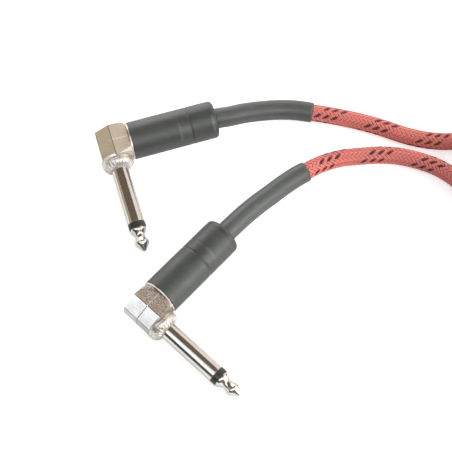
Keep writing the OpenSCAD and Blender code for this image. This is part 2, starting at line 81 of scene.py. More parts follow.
class PlugSizes(bpy.types.PropertyGroup):
    """Sizes of the right-angle plug."""

    sleeve_d: length("Sleeve diameter", "Diameter of the sleeve that enters the jack", 6.35)
    sleeve_reach: length("Sleeve reach", "Barrel axis to the end of the sleeve", 32.4)
    ring_len: length("Ring length", "Length of the insulating ring", 2.2)
    tip_len: length("Tip length", "Length of the tip beyond the ring", 8.8)
    tip_shoulder_d: length("Tip shoulder", "Diameter of the tip where it leaves the ring", 6.0)
    tip_neck_d: length("Tip neck", "Diameter of the waist of the tip", 3.6)
    tip_neck_at: length("Neck station", "Ring to the middle of the waist", 2.8)
    tip_rim_d: length("Tip rim", "Diameter of the rim behind the point", 5.3)
    tip_rim_at: length("Rim station", "Ring to the rim", 5.3)
    tip_rim_w: length("Rim width", "Width of the rim", 0.3)
    tip_band: length("Tip band", "Width of the band between the rim and the cone", 0.3)
    tip_point_d: length("Point", "Diameter of the blunt end of the point", 1.8)
    rod_d: length("Rod", "Diameter of the rod that carries the tip", 2.4)
    peen_d: length("Peened head", "Diameter of the peened head on the rod", 3.8)
    peen_len: length("Peen", "Thickness of the peened head", 0.8)
    peen_at: length("Peen station", "Barrel axis to the back of the peened head", 1.9)
    stem_at: length("Stem station", "Barrel axis to the inner end of the sleeve's stem", 4.4)
    head_w: length("Head width", "Width of the head across its long flats", 12.1)
    head_top: length("Head end", "Barrel axis to the closed end of the head", 5.8)
    head_bottom: length("Head face", "Barrel axis to the face with the boss", 6.3)
    head_back: length("Head back", "Sleeve axis to the back flat", 5.1)
    head_back_w: length("Back flat", "Width of the back flat", 5.4)
    head_front: length("Head front", "Sleeve axis to the flange ring", 6.2)
    head_ball_d: length("Ball turning", "Diameter of the turning that trims the corners", 18.1)
    head_ball_at: length("Ball centre", "Centre of the turning ahead of the sleeve axis", 0.5)
    head_ball_drop: length("Ball drop", "Barrel axis to the centre of the turning", 1.0)
    boss_d: length("Boss diameter", "Diameter of the round boss", 11.6)
    boss_len: length("Boss height", "Height of the boss", 1.3)
    collar_len: length("Collar height", "Height of the staked collar", 2.8)
    stem_d: length("Stem", "Diameter of the sleeve's stem inside the collar", 5.9)
    collar_notches: number("Notches", "Staking notches round the collar", 24, 3)
    flange_lip: length("Flange lip", "How far the flange ring stands out from the shell", 0.6)
    flange_len: length("Flange width", "Thickness of the flange ring", 0.7)
    seam_w: length("Seam width", "Width of the fine seam round the head", 0.26)


class BarrelSizes(bpy.types.PropertyGroup):
    """Sizes of the barrel and its shrink cover."""

    shell_d: length("Shell diameter", "Diameter of the barrel shell", 12.7)
    shell_reach: length("Shell reach", "Sleeve axis to the cable end of the shell", 38.9)
    shell_round: length("Shoulder", "Rounding of the shoulder of the shell", 2.2)
    wrap_wall: length("Cover wall", "Wall of the shrink cover", 0.62)
    band_at: length("First groove", "Sleeve axis to the first groove", 25.1)
    band_len: length("Band", "Width of the band between the grooves", 4.3)
    groove: length("Groove depth", "Depth of the creases in the cover", 0.13)
    slip: length("Fit", "Clearance between pieces that fit together", 0.05)


class CableSizes(bpy.types.PropertyGroup):
    """Sizes of the cable, its boots and its coil."""

    cable_d: length("Cable diameter", "Diameter over the braid", 6.5)
    boot_wall: length("Boot wall", "Wall of the boot", 0.4)
    boot_inner_reach: length("Boot start", "Sleeve axis to the boot's end inside the barrel", 33.0)
    coil_x: length("Coil across", "Middle of the coil across the floor", 157.0)
    coil_y: length("Coil along", "Middle of the coil along the floor", 8.0)
    coil_mean_d: length("Coil diameter", "Diameter at the middle of the turns", 78.0)
    coil_gap: length("Coil gap", "Gap between neighbouring turns", 0.6)
    coil_turns: bpy.props.FloatProperty(name="Turns", description="Turns in the coil",
                                        default=10.25)
    lay_length: length("Lay", "Length in which a carrier goes once round the cable", 19.8)
    carriers: number("Carriers", "Carriers that wind each way", 12, 4)
    yarn_d: length("Yarn", "Diameter of one braid end", 0.46)
    crimp: length("Crimp", "Rise and fall of a yarn as it passes over and under", 0.22)
    tracer_turn: bpy.props.FloatProperty(name="Tracer start", description="Where the tracers start",
                                         default=-0.69, subtype="ANGLE")


class Finishes(bpy.types.PropertyGroup):
    """Colours of the finishes."""

    nickel: colour("Nickel", "Nickel plate", (0.80, 0.77, 0.73))
    shrink: colour("Shrink sleeve", "Black shrink sleeve, slightly faded", (0.05, 0.055, 0.049))
    boot: colour("Boot", "Shrink sleeve of the boots, more faded", (0.078, 0.084, 0.078))
    braid: colour("Braid", "Red yarn of the braid", (0.82, 0.17, 0.148))
    # The next colour is a painted highlight on the crowns of the yarn.
    braid_highlight: colour("Braid crown", "Painted highlight on the tops of the red yarn", (0.95, 0.52, 0.42))
    tracer: colour("Tracer", "Dark tracer yarn", (0.055, 0.02, 0.016))
    ring: colour("Ring", "Black insulating ring", (0.042, 0.040, 0.031))
    floor: colour("Floor", "Pale floor", (0.86, 0.86, 0.86))


SETTINGS = {"plug_sizes": PlugSizes, "barrel_sizes": BarrelSizes, "cable_sizes": CableSizes,
            "cable_finishes": Finishes}


def settings():
    """The property groups of this scene."""
    return [getattr(bpy.context.scene, name) for name in SETTINGS]


# ---------------------------------------------------------------- fixed values

# Where the axes of each plug's barrel and sleeve cross (mm), and how far it is turned (degrees).
PLUGS = {"a": (-34.3, 36.7, 17.5), "b": (-19.6, -29.5, 48.0)}
# Points on the cable's centre line in millimetres, from each plug outward.
ROUTES = {
    "a": [
        (9, 50, 6.6), (15, 52, 5.8), (21, 53.5, 4.9), (27.5, 54.5, 4.2), (34, 54.5, 3.9),
        (40.5, 53.5, 3.8), (47, 52.5, 3.4), (54, 51, 3.25), (61, 49, 3.25), (68, 46.5, 3.25),
        (75.5, 43.5, 3.25), (83.5, 41.5, 3.25), (92, 41, 3.25), (102, 43, 3.25),
        (112, 47, 3.25), (123, 52, 3.25), (136, 55.5, 3.25),
    ],
    "b": [
        (11, 4.5, 6.6), (15, 9, 5.8), (19.5, 13.5, 5), (24, 17.5, 4.4), (28.5, 21.5, 4),
        (33, 25, 3.8), (37, 27.5, 3.8), (43, 31, 3.4), (50, 33.5, 3.25), (57.5, 34.5, 3.25),
        (65, 35, 3.25), (72, 34.5, 3.25), (79.5, 32.5, 3.25), (87, 29, 3.25), (94, 23, 3.25),
        (99, 14.5, 3.25), (100.5, 4, 3.25), (103.5, -9.5, 3.25), (109, -22, 3.25),
        (117.5, -32.5, 3.25), (129, -41, 3.3), (141.5, -46.5, 4), (155, -48.5, 6),
        (169, -47.5, 9.5), (182, -43, 14), (193, -35, 18.5), (200.5, -24, 22), (204.5, -11, 24),
    ],
}
# How many points of each route lie under the boot, whose mouth is at the last of them.
BOOT_POINTS = {"a": 6, "b": 7}
# How far apart the points of each kind of centre line are.
BOOT_STEP, CABLE_STEP, YARN_STEP = 0.8 * MM, 2.2 * MM, 0.5 * MM
# Layers of the coil, and points in each of its turns.
COIL_LAYERS = 4
COIL_STEPS = 24
# Length of real yarns behind each boot, and how much thinner the cable is under them.
YARN_REACH = 62 * MM
YARN_SINK = 0.5 * MM
# Middle of the first column of right-hand floats, in turns from the cable's side.
COLUMN_TURN = 11 / 360

# Half width of a crease in a cover, and its depth on each plug as a share of the groove's.
CREASE_HALF = 0.6 * MM
CREASES = {"a": (0.35, 1.0), "b": (1.0, 0.35)}
# Middle of the rubbed patch of each cover, where the knurl shows. The patch sits where the
# highlight falls and is painted paler there as a painted highlight. Given in degrees up from the
# side of the sleeve, with half the angle that it takes and the lines of knurl round the barrel.
RUB_ANGLES = {"a": 48, "b": 60}
RUB_HALF_ANGLE = 18
RUB_LINES = 40.0
# Painted highlights and painted shade on the covers, on the edges where light falls and in the
# grooves and the gap to the boot where shade falls: distance from the sleeve's axis and half width
# (mm), middle and half angle (degrees, as above), and tone, which is painted shade below 0 and
# painted highlight above.
LIGHT_AND_SHADE_MARKS = {
    "a": ((25.3, 0.55, 48, 34, 0.75), (29.4, 0.5, 44, 44, -0.8), (37.7, 0.6, 50, 32, 1.0),
          (39.5, 0.9, 48, 50, -0.8)),
    "b": ((25.0, 0.5, 58, 40, -0.8), (29.1, 0.6, 64, 28, 0.6), (37.6, 0.9, 60, 50, -0.5)),
}

# Slots of a head's finishes, the sides of its outline that are slopes (the even ones are creases),
# and the two rings of faces that make its seam.
FLAT, TURNED, SLOPE, CREASE, SEAM = range(5)
SLOPED_SIDES = (5, 7, 9)
SEAM_RINGS = (1, 2)
# Half width of a head's creases, width of its bevelled edges, and place and depth of its seam.
CREASE_W = 0.13 * MM
EDGE_W = 0.15 * MM
SEAM_AT = 0.33 * MM
SEAM_DEPTH = 0.045 * MM
# How much larger the ball is that trims each head, whose corners were trimmed unequally.
BALL_EXTRA = {"a": 1.3 * MM, "b": 0.0}
# The lapped bevel of head A: its slant and tilt in degrees, and a point on it in the plug's frame.
BEVEL_SLANT, BEVEL_TILT = 17.2, 30
BEVEL_ACROSS, BEVEL_ALONG = 0.86 * MM, -6.35 * MM
# Depth of the collar's notches, and the share of its round that they take.
NOTCH_DEPTH = 0.26 * MM
NOTCH_SHARE = 0.3
# Wall of the sleeve, and how deep the flange ring reaches under the shell's outside.
METAL_WALL = 0.7 * MM

# Faces round the cable, a boot, small and larger turned pieces, and a collar.
CABLE_SIDES, BOOT_SIDES, SMALL_SIDES, LARGE_SIDES, COLLAR_SIDES = 48, 64, 96, 128, 360

# The camera's place and what it looks at (mm), and its lens on a 36 mm sensor.
CAMERA_AT = (7.65, -179.07, 356.64)
CAMERA_TARGET = (7.65, 6.9, 0.0)
CAMERA_LENS = 88.13
# Half width of the floor (m), and how brightly it glows for the camera and in a mirror.
FLOOR_HALF = 4
FLOOR_SEEN, FLOOR_MIRRORED = 0.62, 0.1
# Colour of the world as a light. To the camera and in a mirror it is white.
WORLD_TONE = (0.5, 0.505, 0.51)
WHITE = (1.0, 1.0, 1.0)
# Square lamps: name, place, width and power.
LAMPS = (("key", (0.95, -0.32, 0.52), 0.6, 14.0), ("back", (-0.25, 1.0, 0.5), 0.6, 7.0))
# Upright cards: name, distance, first and last direction in degrees, low and high edge, and tone.
CARDS = (
    ("card_low", 1.2, 190, 262, 0.0, 0.72, (0.09, 0.085, 0.07)),
    ("card_left", 1.3, 155, 190, 0.0, 0.66, (0.48, 0.39, 0.28)),
    ("card_soft", 0.9, 196, 246, 0.58, 1.9, (1.5, 1.52, 1.54)),
    ("card_back", 1.2, 15, 80, 0.0, 1.35, (0.97, 0.91, 0.85)),
    ("card_far", 1.3, 92, 128, 0.0, 1.1, (2.6, 2.57, 2.5)),
    ("card_front", 0.9, 283, 309, 0.66, 1.4, (4.0, 3.95, 3.9)),
    ("card_dark", 1.0, 258, 318, 0.0, 0.62, (0.2, 0.165, 0.13)),
    ("card_key", 1.1, 322, 368, 0.02, 0.6, (3.1, 3.05, 3.0)),
)
# The card that lies flat over the set.
CARD_OVER = [(-1.75, -0.15, 1), (0.6, -0.15, 1), (0.6, 1.1, 1), (-1.75, 1.1, 1)]
CARD_OVER_TONE = (0.16, 0.125, 0.09)


# ---------------------------------------------------------------- layout


def wrap_radius():
    """Outside radius of the shrink cover, on which a plug lies."""
    _, barrel, _, _ = settings()
    return barrel.shell_d / 2 + barrel.slip + barrel.wrap_wall


def wrap_end():
    """Sleeve axis to the cable end of the shrink cover."""
    _, barrel, _, _ = settings()
    return barrel.shell_reach + barrel.slip + barrel.wrap_wall


def boot_bore():
    """Radius of a boot's bore."""
    _, barrel, cable, _ = settings()
    return cable.cable_d / 2 + 3 * barrel.slip


def roll():
    """The roll of a plug that lies on its cover, down to where its tip or ring touches."""
    plug = settings()[0]
    radius = wrap_radius()
    ring = (plug.sleeve_reach + plug.ring_len, plug.sleeve_d / 2)
    rim = (ring[0] + plug.tip_rim_at + plug.tip_rim_w, plug.tip_rim_d / 2)
    return min(math.asin(radius / math.hypot(s, r)) - math.atan2(r, s) for s, r in (ring, rim))


def plug_place(side):
    """The matrix from a plug's own frame to the object's frame."""
    x, y, turn = PLUGS[side]
    place = Matrix.Translation((x * MM, y * MM, wrap_radius()))
    return place @ Matrix.Rotation(math.radians(turn), 4, "Z") @ Matrix.Rotation(roll(), 4, "X")


def axis_point(side, reach):
    """A point on a barrel's axis, at a distance from the sleeve's axis."""
    x, y, turn = PLUGS[side]
    turn = math.radians(turn)
    return Vector((x * MM + reach * math.cos(turn), y * MM + reach * math.sin(turn), wrap_radius()))


def coil_points():
    """The coil: spirals in, up a layer, out, up, in, up and out, with a straight lead each end."""
    cable = settings()[2]
    pitch = cable.cable_d + cable.coil_gap
    layer_turns = cable.coil_turns / COIL_LAYERS
    half_width = layer_turns * pitch / 2
    outer, inner = cable.coil_mean_d / 2 + half_width, cable.coil_mean_d / 2 - half_width
    points = []
    for i in range(int(cable.coil_turns * COIL_STEPS) + 1):
        turns = i / COIL_STEPS
        layer = min(int(turns / layer_turns), COIL_LAYERS - 1)
        done = (turns - layer * layer_turns) * pitch
        radius = outer - done if layer % 2 == 0 else inner + done
        climbed = sum(min(1.0, max(0.0, 2 * (turns - k * layer_turns) + 0.5))
                      for k in range(1, COIL_LAYERS))
        angle = math.radians(90 - 360 * turns)
        points.append(Vector((cable.coil_x + radius * math.cos(angle),
                              cable.coil_y + radius * math.sin(angle),
                              cable.cable_d / 2 + pitch * climbed)))
    lead_in = points[0] - Vector((cable.cable_d, 0, 0))
    lead_out = points[-1] - Vector((0, cable.cable_d, 0))
    return [lead_in] + points + [lead_out]


def smooth_line(points, step):
    """A Catmull-Rom line through the points, with a point about every step."""
    ends = [points[0] * 2 - points[1]] + points + [points[-1] * 2 - points[-2]]
    line = []
    for a, b, c, d in zip(ends, ends[1:], ends[2:], ends[3:]):
        count = max(1, round((c - b).length / step))
        for k in range(count):
            t = k / count
            line.append(0.5 * ((2 * b) + (c - a) * t + (2 * a - 5 * b + 4 * c - d) * t * t
                               + (3 * b - a - 3 * c + d) * t ** 3))
    line.append(points[-1].copy())
    return line


def nearest(line, point):
    """Index of the point of a line that is nearest to a point."""
    return min(range(len(line)), key=lambda i: (line[i] - point).length)


def distances(line):
    """How far along a line each of its points is."""
    run = [0.0]
    for a, b in zip(line, line[1:]):
        run.append(run[-1] + (b - a).length)
    return run


def lead_points(side):
    """Centre-line points of one lead, from inside its barrel outward, and its boot's mouth."""
    cable = settings()[2]
    points = [axis_point(side, cable.boot_inner_reach), axis_point(side, wrap_end())]
    points += [Vector(p) * MM for p in ROUTES[side]]
    return points, points[1 + BOOT_POINTS[side]]


def boot_line(side):
    """The centre line inside one boot."""
    points, mouth = lead_points(side)
    line = smooth_line(points[:BOOT_POINTS[side] + 4], BOOT_STEP)
    return line[:nearest(line, mouth) + 1]


def cable_line():
    """The centre line of the free cable, from boot A to boot B."""
    (lead_a, mouth_a), (lead_b, mouth_b) = lead_points("a"), lead_points("b")
    line = smooth_line(lead_a + coil_points() + lead_b[::-1], CABLE_STEP)
    return line[nearest(line, mouth_a):nearest(line, mouth_b) + 1]


# ---------------------------------------------------------------- mesh helpers


def new_piece(name, mesh):
    """A new object in the scene, at the origin, that holds the mesh."""
    piece = bpy.data.objects.new(name, mesh)
    bpy.context.scene.collection.objects.link(piece)
    return piece


def finished(name, mesh, materials, slot, *nodes):
    """A finished piece with its materials, its body and the nodes that it stands for. Its slot is
    not used.
    """
    piece = new_piece(name, mesh)
    for i, material in enumerate(materials if isinstance(materials, list) else [materials]):
        if i < len(mesh.materials):
            mesh.materials[i] = material
        else:
            mesh.materials.append(material)
    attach(piece, BODY)
    if nodes:
        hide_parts(*nodes)
    return piece


def flat_mesh(name, corners):
    """A mesh of one four-sided face."""
    mesh = bpy.data.meshes.new(name)
    mesh.from_pydata(corners, [], [(0, 1, 2, 3)])
    return mesh


def plain_mesh(piece):
    """The mesh that a piece's modifiers make. The piece itself goes."""
    bpy.context.view_layer.update()
    evaluated = piece.evaluated_get(bpy.context.evaluated_depsgraph_get())
    mesh = bpy.data.meshes.new_from_object(evaluated)
    bpy.data.objects.remove(piece)
    return mesh


def grid_mesh(name, rows, stations, ring):
    """A smooth closed mesh from rows of points round an axis: a ring, or a bar with flat ends. Its
    UV map runs in turns round the axis, and in metres along the rows."""
    count = len(rows[0])
    faces, uvs = [], []
    for i in range(len(rows) if ring else len(rows) - 1):
        j = (i + 1) % len(rows)
        v0, v1 = stations[i], stations[i + 1]
        for k in range(count):
            n = (k + 1) % count
            faces.append((i * count + k, i * count + n, j * count + n, j * count + k))
            uvs += [(k / count, v0), ((k + 1) / count, v0), ((k + 1) / count, v1), (k / count, v1)]
    for i, order in () if ring else ((0, -1), (len(rows) - 1, 1)):
        faces.append([i * count + k for k in range(count)][::order])
        uvs += [(k / count, stations[i]) for k in range(count)][::order]
    mesh = bpy.data.meshes.new(name)
    mesh.from_pydata([tuple(point) for row in rows for point in row], [], faces)
    mesh.uv_layers.new(name="UVMap").data.foreach_set("uv", [c for uv in uvs for c in uv])
    mesh.polygons.foreach_set("use_smooth", [True] * len(mesh.polygons))
    work = bmesh.new()
    work.from_mesh(mesh)
    bmesh.ops.recalc_face_normals(work, faces=work.faces)
    work.to_mesh(mesh)
    work.free()
    mesh.update()
    return mesh


def frames_along(line):
    """Point, sideways and upward directions at each point of a line that stays off the vertical."""
    frames = []
    for i, point in enumerate(line):
        ahead = line[min(i + 1, len(line) - 1)] - line[max(i - 1, 0)]
        side = ahead.cross(Vector((0, 0, 1))).normalized()
        frames.append((point, side, side.cross(ahead).normalized()))
    return frames


def sweep(name, line, profile, sides, ring=False):
    """Sweeps a round section along a line. The profile gives (index on the line, radius)."""
    frames, run = frames_along(line), distances(line)
    rows = []
    for index, radius in profile:
        point, side, up = frames[index]
        rows.append([point + radius * (math.cos(a) * side + math.sin(a) * up)
                     for a in (2 * math.pi * k / sides for k in range(sides))])
    stations = [run[index] for index, _ in profile]
    return grid_mesh(name, rows, stations + stations[:1], ring)


def arc_corners(points, steps=5, most=0.49):
    """Rounds the corners of an outline. Each point is (station, radius, rounding), and a rounding
    takes at most a share of the sides beside it."""
    rounded = []
    count = len(points)
    for i, (x, r, fillet) in enumerate(points):
        here = Vector((x, r))
        if fillet <= 0:
            rounded.append(here)
            continue
        before = Vector(points[i - 1][:2]) - here
        after = Vector(points[(i + 1) % count][:2]) - here
        reach = fillet / math.tan(before.angle(after) / 2)
        reach = min(reach, before.length * most, after.length * most)
        start, end = here + before.normalized() * reach, here + after.normalized() * reach
        for k in range(steps + 1):
            t = k / steps
            rounded.append(start * (1 - t) ** 2 + here * 2 * t * (1 - t) + end * t * t)
    return rounded


def refined(outline, step):
    """The outline with its long straight stretches cut into steps."""
    fine = []
    for a, b in zip(outline, outline[1:]):
        count = max(1, int((b - a).length / step))
        fine += [a.lerp(b, k / count) for k in range(count)]
    return fine + [outline[-1]]


def revolve(name, outline, segments, place, axis, step=MM, solid=False):
    """Revolves an outline of (station, radius) points about the axis of the barrel or the sleeve.
    The outline is closed, or for a solid piece starts and ends on the axis."""
    outline = refined(outline[1:-1] if solid else outline, step)
    rows, stations = [], [0.0]
    for i, (station, radius) in enumerate(outline):
        row = []
        for k in range(segments):
            a = 2 * math.pi * k / segments
            across, up = radius * math.cos(a), radius * math.sin(a)
            point = (station, across, up) if axis == "barrel" else (across, -station, up)
            row.append(place @ Vector(point))
        rows.append(row)
        after = outline[(i + 1) % len(outline)]
        stations.append(stations[-1] + math.hypot(after[0] - station, after[1] - radius))
    return grid_mesh(name, rows, stations, ring=not solid)


# ---------------------------------------------------------------- node helpers


def operation(name, swapped=False):
    """A method that adds the math node of one operation between a value and another."""
    def method(self, other):
        return self.nodes.math(name, *((other, self) if swapped else (self, other)))
    return method


class Value:
    """A number in a node tree, on which sums, products and comparisons add math nodes."""

    __add__ = operation("ADD")
    __sub__ = operation("SUBTRACT")
    __rsub__ = operation("SUBTRACT", swapped=True)
    __mul__ = operation("MULTIPLY")
    __truediv__ = operation("DIVIDE")
    __mod__ = operation("FLOORED_MODULO")
    __lt__ = operation("LESS_THAN")
    __gt__ = operation("GREATER_THAN")

    def __init__(self, nodes, socket):
        self.nodes, self.socket = nodes, socket


class Nodes:
    """Adds nodes to a tree and links them. An input takes a plain value, a Value or a socket."""

    def __init__(self, tree):
        self.tree = tree

    def put(self, socket, value):
        """Links a Value or a socket to an input, or sets a plain value on it."""
        value = value.socket if isinstance(value, Value) else value
        if isinstance(value, bpy.types.NodeSocket):
            self.tree.links.new(value, socket)
        else:
            socket.default_value = value

    def add(self, kind, inputs=None, **choices):
        """Adds a node, makes its choices and then fills its inputs, by name or by number."""
        node = self.tree.nodes.new(kind)
        for key, value in choices.items():
            setattr(node, key, value)
        for key, value in (inputs or {}).items():
            self.put(node.inputs[key], value)
        return node

    def value(self, kind, inputs=None, output=0, **choices):
        """Adds a node for one of its outputs."""
        return Value(self, self.add(kind, inputs, **choices).outputs[output])

    def math(self, kind, *values):
        return self.value("ShaderNodeMath", dict(enumerate(values)), operation=kind)

    def vector(self, kind, a, b):
        second = "Scale" if kind == "SCALE" else 1
        return self.add("ShaderNodeVectorMath", {0: a, second: b}, operation=kind).outputs[0]

    def mix(self, factor, a, b):
        return self.add("ShaderNodeMix", {0: factor, 6: a, 7: b}, data_type="RGBA").outputs[2]

    def remap(self, value, low, high, to_low=0.0, to_high=1.0, **choices):
        return self.value("ShaderNodeMapRange", {0: value, 1: low, 2: high, 3: to_low, 4: to_high},
                          **choices)

    def noise(self, where, scale, detail=3.0, roughness=0.5):
        """A noise whose scale is about its number of spots to the metre."""
        return self.value("ShaderNodeTexNoise", {"Vector": where, "Scale": scale, "Detail": detail,
                                                 "Roughness": roughness})

    def attribute(self, name):
        """A number stored on the mesh."""
        return self.value("ShaderNodeAttribute", output="Fac", attribute_name=name)

    def split(self, vector):
        parts = self.add("ShaderNodeSeparateXYZ", {0: vector}).outputs
        return [Value(self, part) for part in parts]

    def unrolled(self):
        """Turns round the piece and metres along it, from its own UV map."""
        return self.split(self.add("ShaderNodeUVMap", uv_map="UVMap").outputs[0])[:2]

    def place(self):
        """Object coordinates of the piece."""
        return self.add("ShaderNodeTexCoord").outputs["Object"]


def shade(base, share=1.0):
    """A colour made darker or paler, with full alpha."""
    return (*(c * share for c in base), 1.0)


def made_once(kind):
    """Has each material or node group made once, and found by its name after that."""
    def wrap(make):
        @functools.wraps(make)
        def ask(name, *values, **choices):
            return getattr(bpy.data, kind).get(name) or make(name, *values, **choices)
        return ask
    return wrap


SOCKETS = {"value": "NodeSocketFloat", "vector": "NodeSocketVector", "count": "NodeSocketInt",
           "material": "NodeSocketMaterial", "geometry": "NodeSocketGeometry"}


def node_group(name, kind, inputs, outputs):
    """A node group with named sockets: the group, its nodes, its inputs by name and its output."""
    tree = bpy.data.node_groups.new(name, kind)
    for label, form, default in inputs:
        socket = tree.interface.new_socket(label, in_out="INPUT", socket_type=SOCKETS[form])
        if default is not None:
            socket.default_value = default
    for label, form in outputs:
        tree.interface.new_socket(label, in_out="OUTPUT", socket_type=SOCKETS[form])
    n = Nodes(tree)
    given = {socket.name: Value(n, socket) for socket in n.add("NodeGroupInput").outputs}
    return tree, n, given, n.add("NodeGroupOutput").inputs


def new_material(name):
    """A new material with its shader: the material, its nodes and the shader's inputs."""
    material = bpy.data.materials.new(name)
    material.use_nodes = True
    tree = material.node_tree
    return material, Nodes(tree), tree.nodes["Principled BSDF"].inputs


def dress(n, shader, base, rough, bump, plain):
    """Feeds a shader its colour, roughness and bump (height, depth, strength), and plain values."""
    height, depth, strength = bump
    lift = n.add("ShaderNodeBump", {"Strength": strength, "Distance": depth, "Height": height})
    n.put(shader["Base Color"], base)
    n.put(shader["Roughness"], rough)
    n.put(shader["Normal"], lift.outputs[0])
    for label, value in plain.items():
        shader[label].default_value = value


# ---------------------------------------------------------------- finishes


@made_once("node_groups")
def handling_wear(name):
    """Group: clouds, fine scratches and grain from handling, as a mask, roughness and height."""
    tree, n, given, out = node_group(
        name, "ShaderNodeTree",
        [("Place", "vector", None), ("Amount", "value", 0.3), ("Roughness", "value", 0.2)],
        [("Mask", "value"), ("Roughness", "value"), ("Height", "value")])
    place, amount = given["Place"], given["Amount"]
    patch = n.remap(n.noise(place, 420.0, 4.0, 0.6), 0.42, 0.68)
    stretched = n.vector("MULTIPLY", place, (900.0, 5200.0, 2600.0))
    scratch = n.remap(n.noise(stretched, 1.0, 2.0, 0.6), 0.62, 0.72)
    grain = n.noise(place, 9000.0, 2.0)
    mask = n.math("MAXIMUM", patch, scratch * 0.7) * amount
    n.put(out["Mask"], mask)
    n.put(out["Roughness"], given["Roughness"] + mask * 0.22)
    n.put(out["Height"], grain * 0.35 - scratch * amount)
    return tree


@made_once("materials")
def nickel_plate(name, rough, amount, tint=(1.0, 1.0, 1.0)):
    """Nickel plate: a slightly warm mirror, clouded and finely scratched by handling."""
    material, n, shader = new_material(name)
    wear = n.add("ShaderNodeGroup", {"Place": n.place(), "Amount": amount, "Roughness": rough},
                 node_tree=handling_wear("Handling wear")).outputs
    metal = [c * t for c, t in zip(settings()[3].nickel, tint)]
    dress(n, shader, n.mix(wear["Mask"], shade(metal), shade(metal, 0.78)), wear["Roughness"],
          (wear["Height"], 0.00002, 0.5), {"Metallic": 1.0})
    return material


def satin(side):
    """The finish of boss and collar, duller on plug A; plug B's copy is tinted darker as painted
    shade.
    """
    if side == "a":
        return nickel_plate("nickel satin A", 0.4, 0.15)
    # Painted shade: plug B's satin is a slightly darker tint of the same nickel.
    return nickel_plate("nickel satin B", 0.33, 0.15, tint=(0.93, 0.91, 0.89))


def turned_nickel():
    """The finish of turned surfaces."""
    return nickel_plate("nickel turned", 0.14, 0.25)


@made_once("materials")
def nickel_facets(name, tint, rough, bump, contrast, metallic=1.0):
    """Nickel plate on the milled flats: duller, with the mottling of the casting under it."""
    material, n, shader = new_material(name)
    place = n.place()
    mottle = n.noise(place, 2300.0, 2.0, 0.55)
    base = n.mix(n.remap(mottle, 0.38, 0.62), shade(tint, 1 - contrast), shade(tint))
    uneven = n.remap(n.noise(place, 260.0, 2.0), 0.35, 0.65, rough, rough + 0.07)
    dress(n, shader, base, uneven, (mottle, bump, 1.0), {"Metallic": metallic})
    return material


@made_once("materials")
def plain_finish(name, base, rough, metallic=0.0):
    """A quiet finish: a little variation in colour and a fine grain."""
    material, n, shader = new_material(name)
    place = n.place()
    cloud = n.noise(place, 700.0)
    dress(n, shader, n.mix(cloud, shade(base, 0.76), shade(base)),
          n.remap(cloud, 0.3, 0.7, rough, rough + 0.15),
          (n.noise(place, 6000.0, 2.0), 0.00002, 0.3), {"Metallic": metallic})
    return material


def ring_black():
    """The finish of the insulating rings."""
    return plain_finish("black ring", settings()[3].ring, 0.22)


@made_once("materials")
def shrink_sleeve(name, rubbed):
    """Black shrink sleeve: matt, faded and scuffed. A cover is rubbed, and the knurl under it shows
    in a patch, painted paler where the highlight falls as a painted highlight; a cover also gets
    painted highlights on its edges and painted shade in its grooves and at the boot."""
    finish = settings()[3]
    material, n, shader = new_material(name)
    place = n.place()
    cloud = n.noise(place, 180.0, 4.0, 0.6)
    stretched = n.vector("MULTIPLY", place, (260.0, 900.0, 900.0))
    scuff = n.remap(n.noise(stretched, 1.0, 4.0, 0.65), 0.55, 0.72)
    black = finish.shrink if rubbed else finish.boot
    pale = [min(1.0, c * 1.75 + 0.01) for c in black]
    base = n.mix(cloud, shade(black, 0.78), shade(black))
    base = n.mix(scuff * 0.3, base, shade(pale))
    height = n.noise(place, 5200.0, 2.0) * 0.25 + cloud * 0.8
    if rubbed:
        around, along = n.unrolled()
        slant = around * RUB_LINES - along * (RUB_LINES / (2 * math.pi * wrap_radius()))
        hatch = n.remap(n.math("SINE", slant * (2 * math.pi)), -0.6, 0.9, 0.2, 1.0)
        # The knurl shows as a hatch of bumps, and its paler colour is a painted highlight where the
        # light falls.
        ridge = hatch * n.attribute("rub_and_highlight")
        base = n.mix(ridge * 0.35, base, shade(pale, 1.5))
        height = height + ridge * 0.5
        # Painted highlights on the covers' edges, and painted shade in their grooves and at the gap
        # to the boot.
        painted_light_and_shade = n.attribute("painted_light_and_shade")
        base = n.mix(n.remap(painted_light_and_shade, 0.0, 1.0), base, shade(pale, 1.2))
        base = n.mix(n.remap(painted_light_and_shade, -1.0, 0.0, 1.0, 0.0), base, shade(black, 0.2))
    dress(n, shader, base, n.remap(cloud, 0.3, 0.7, 0.36, 0.5), (height, 0.00006, 0.6),
          {"Specular IOR Level": 0.8})
    return material


def boot_sleeve():
    """The finish of the boots."""
    return shrink_sleeve("boot sleeve", False)


def holds_tracer(carrier):
    """Which carriers hold a tracer: every second one of the first six."""
    return (carrier % 2.0 < 0.5) * (carrier < 5.5)


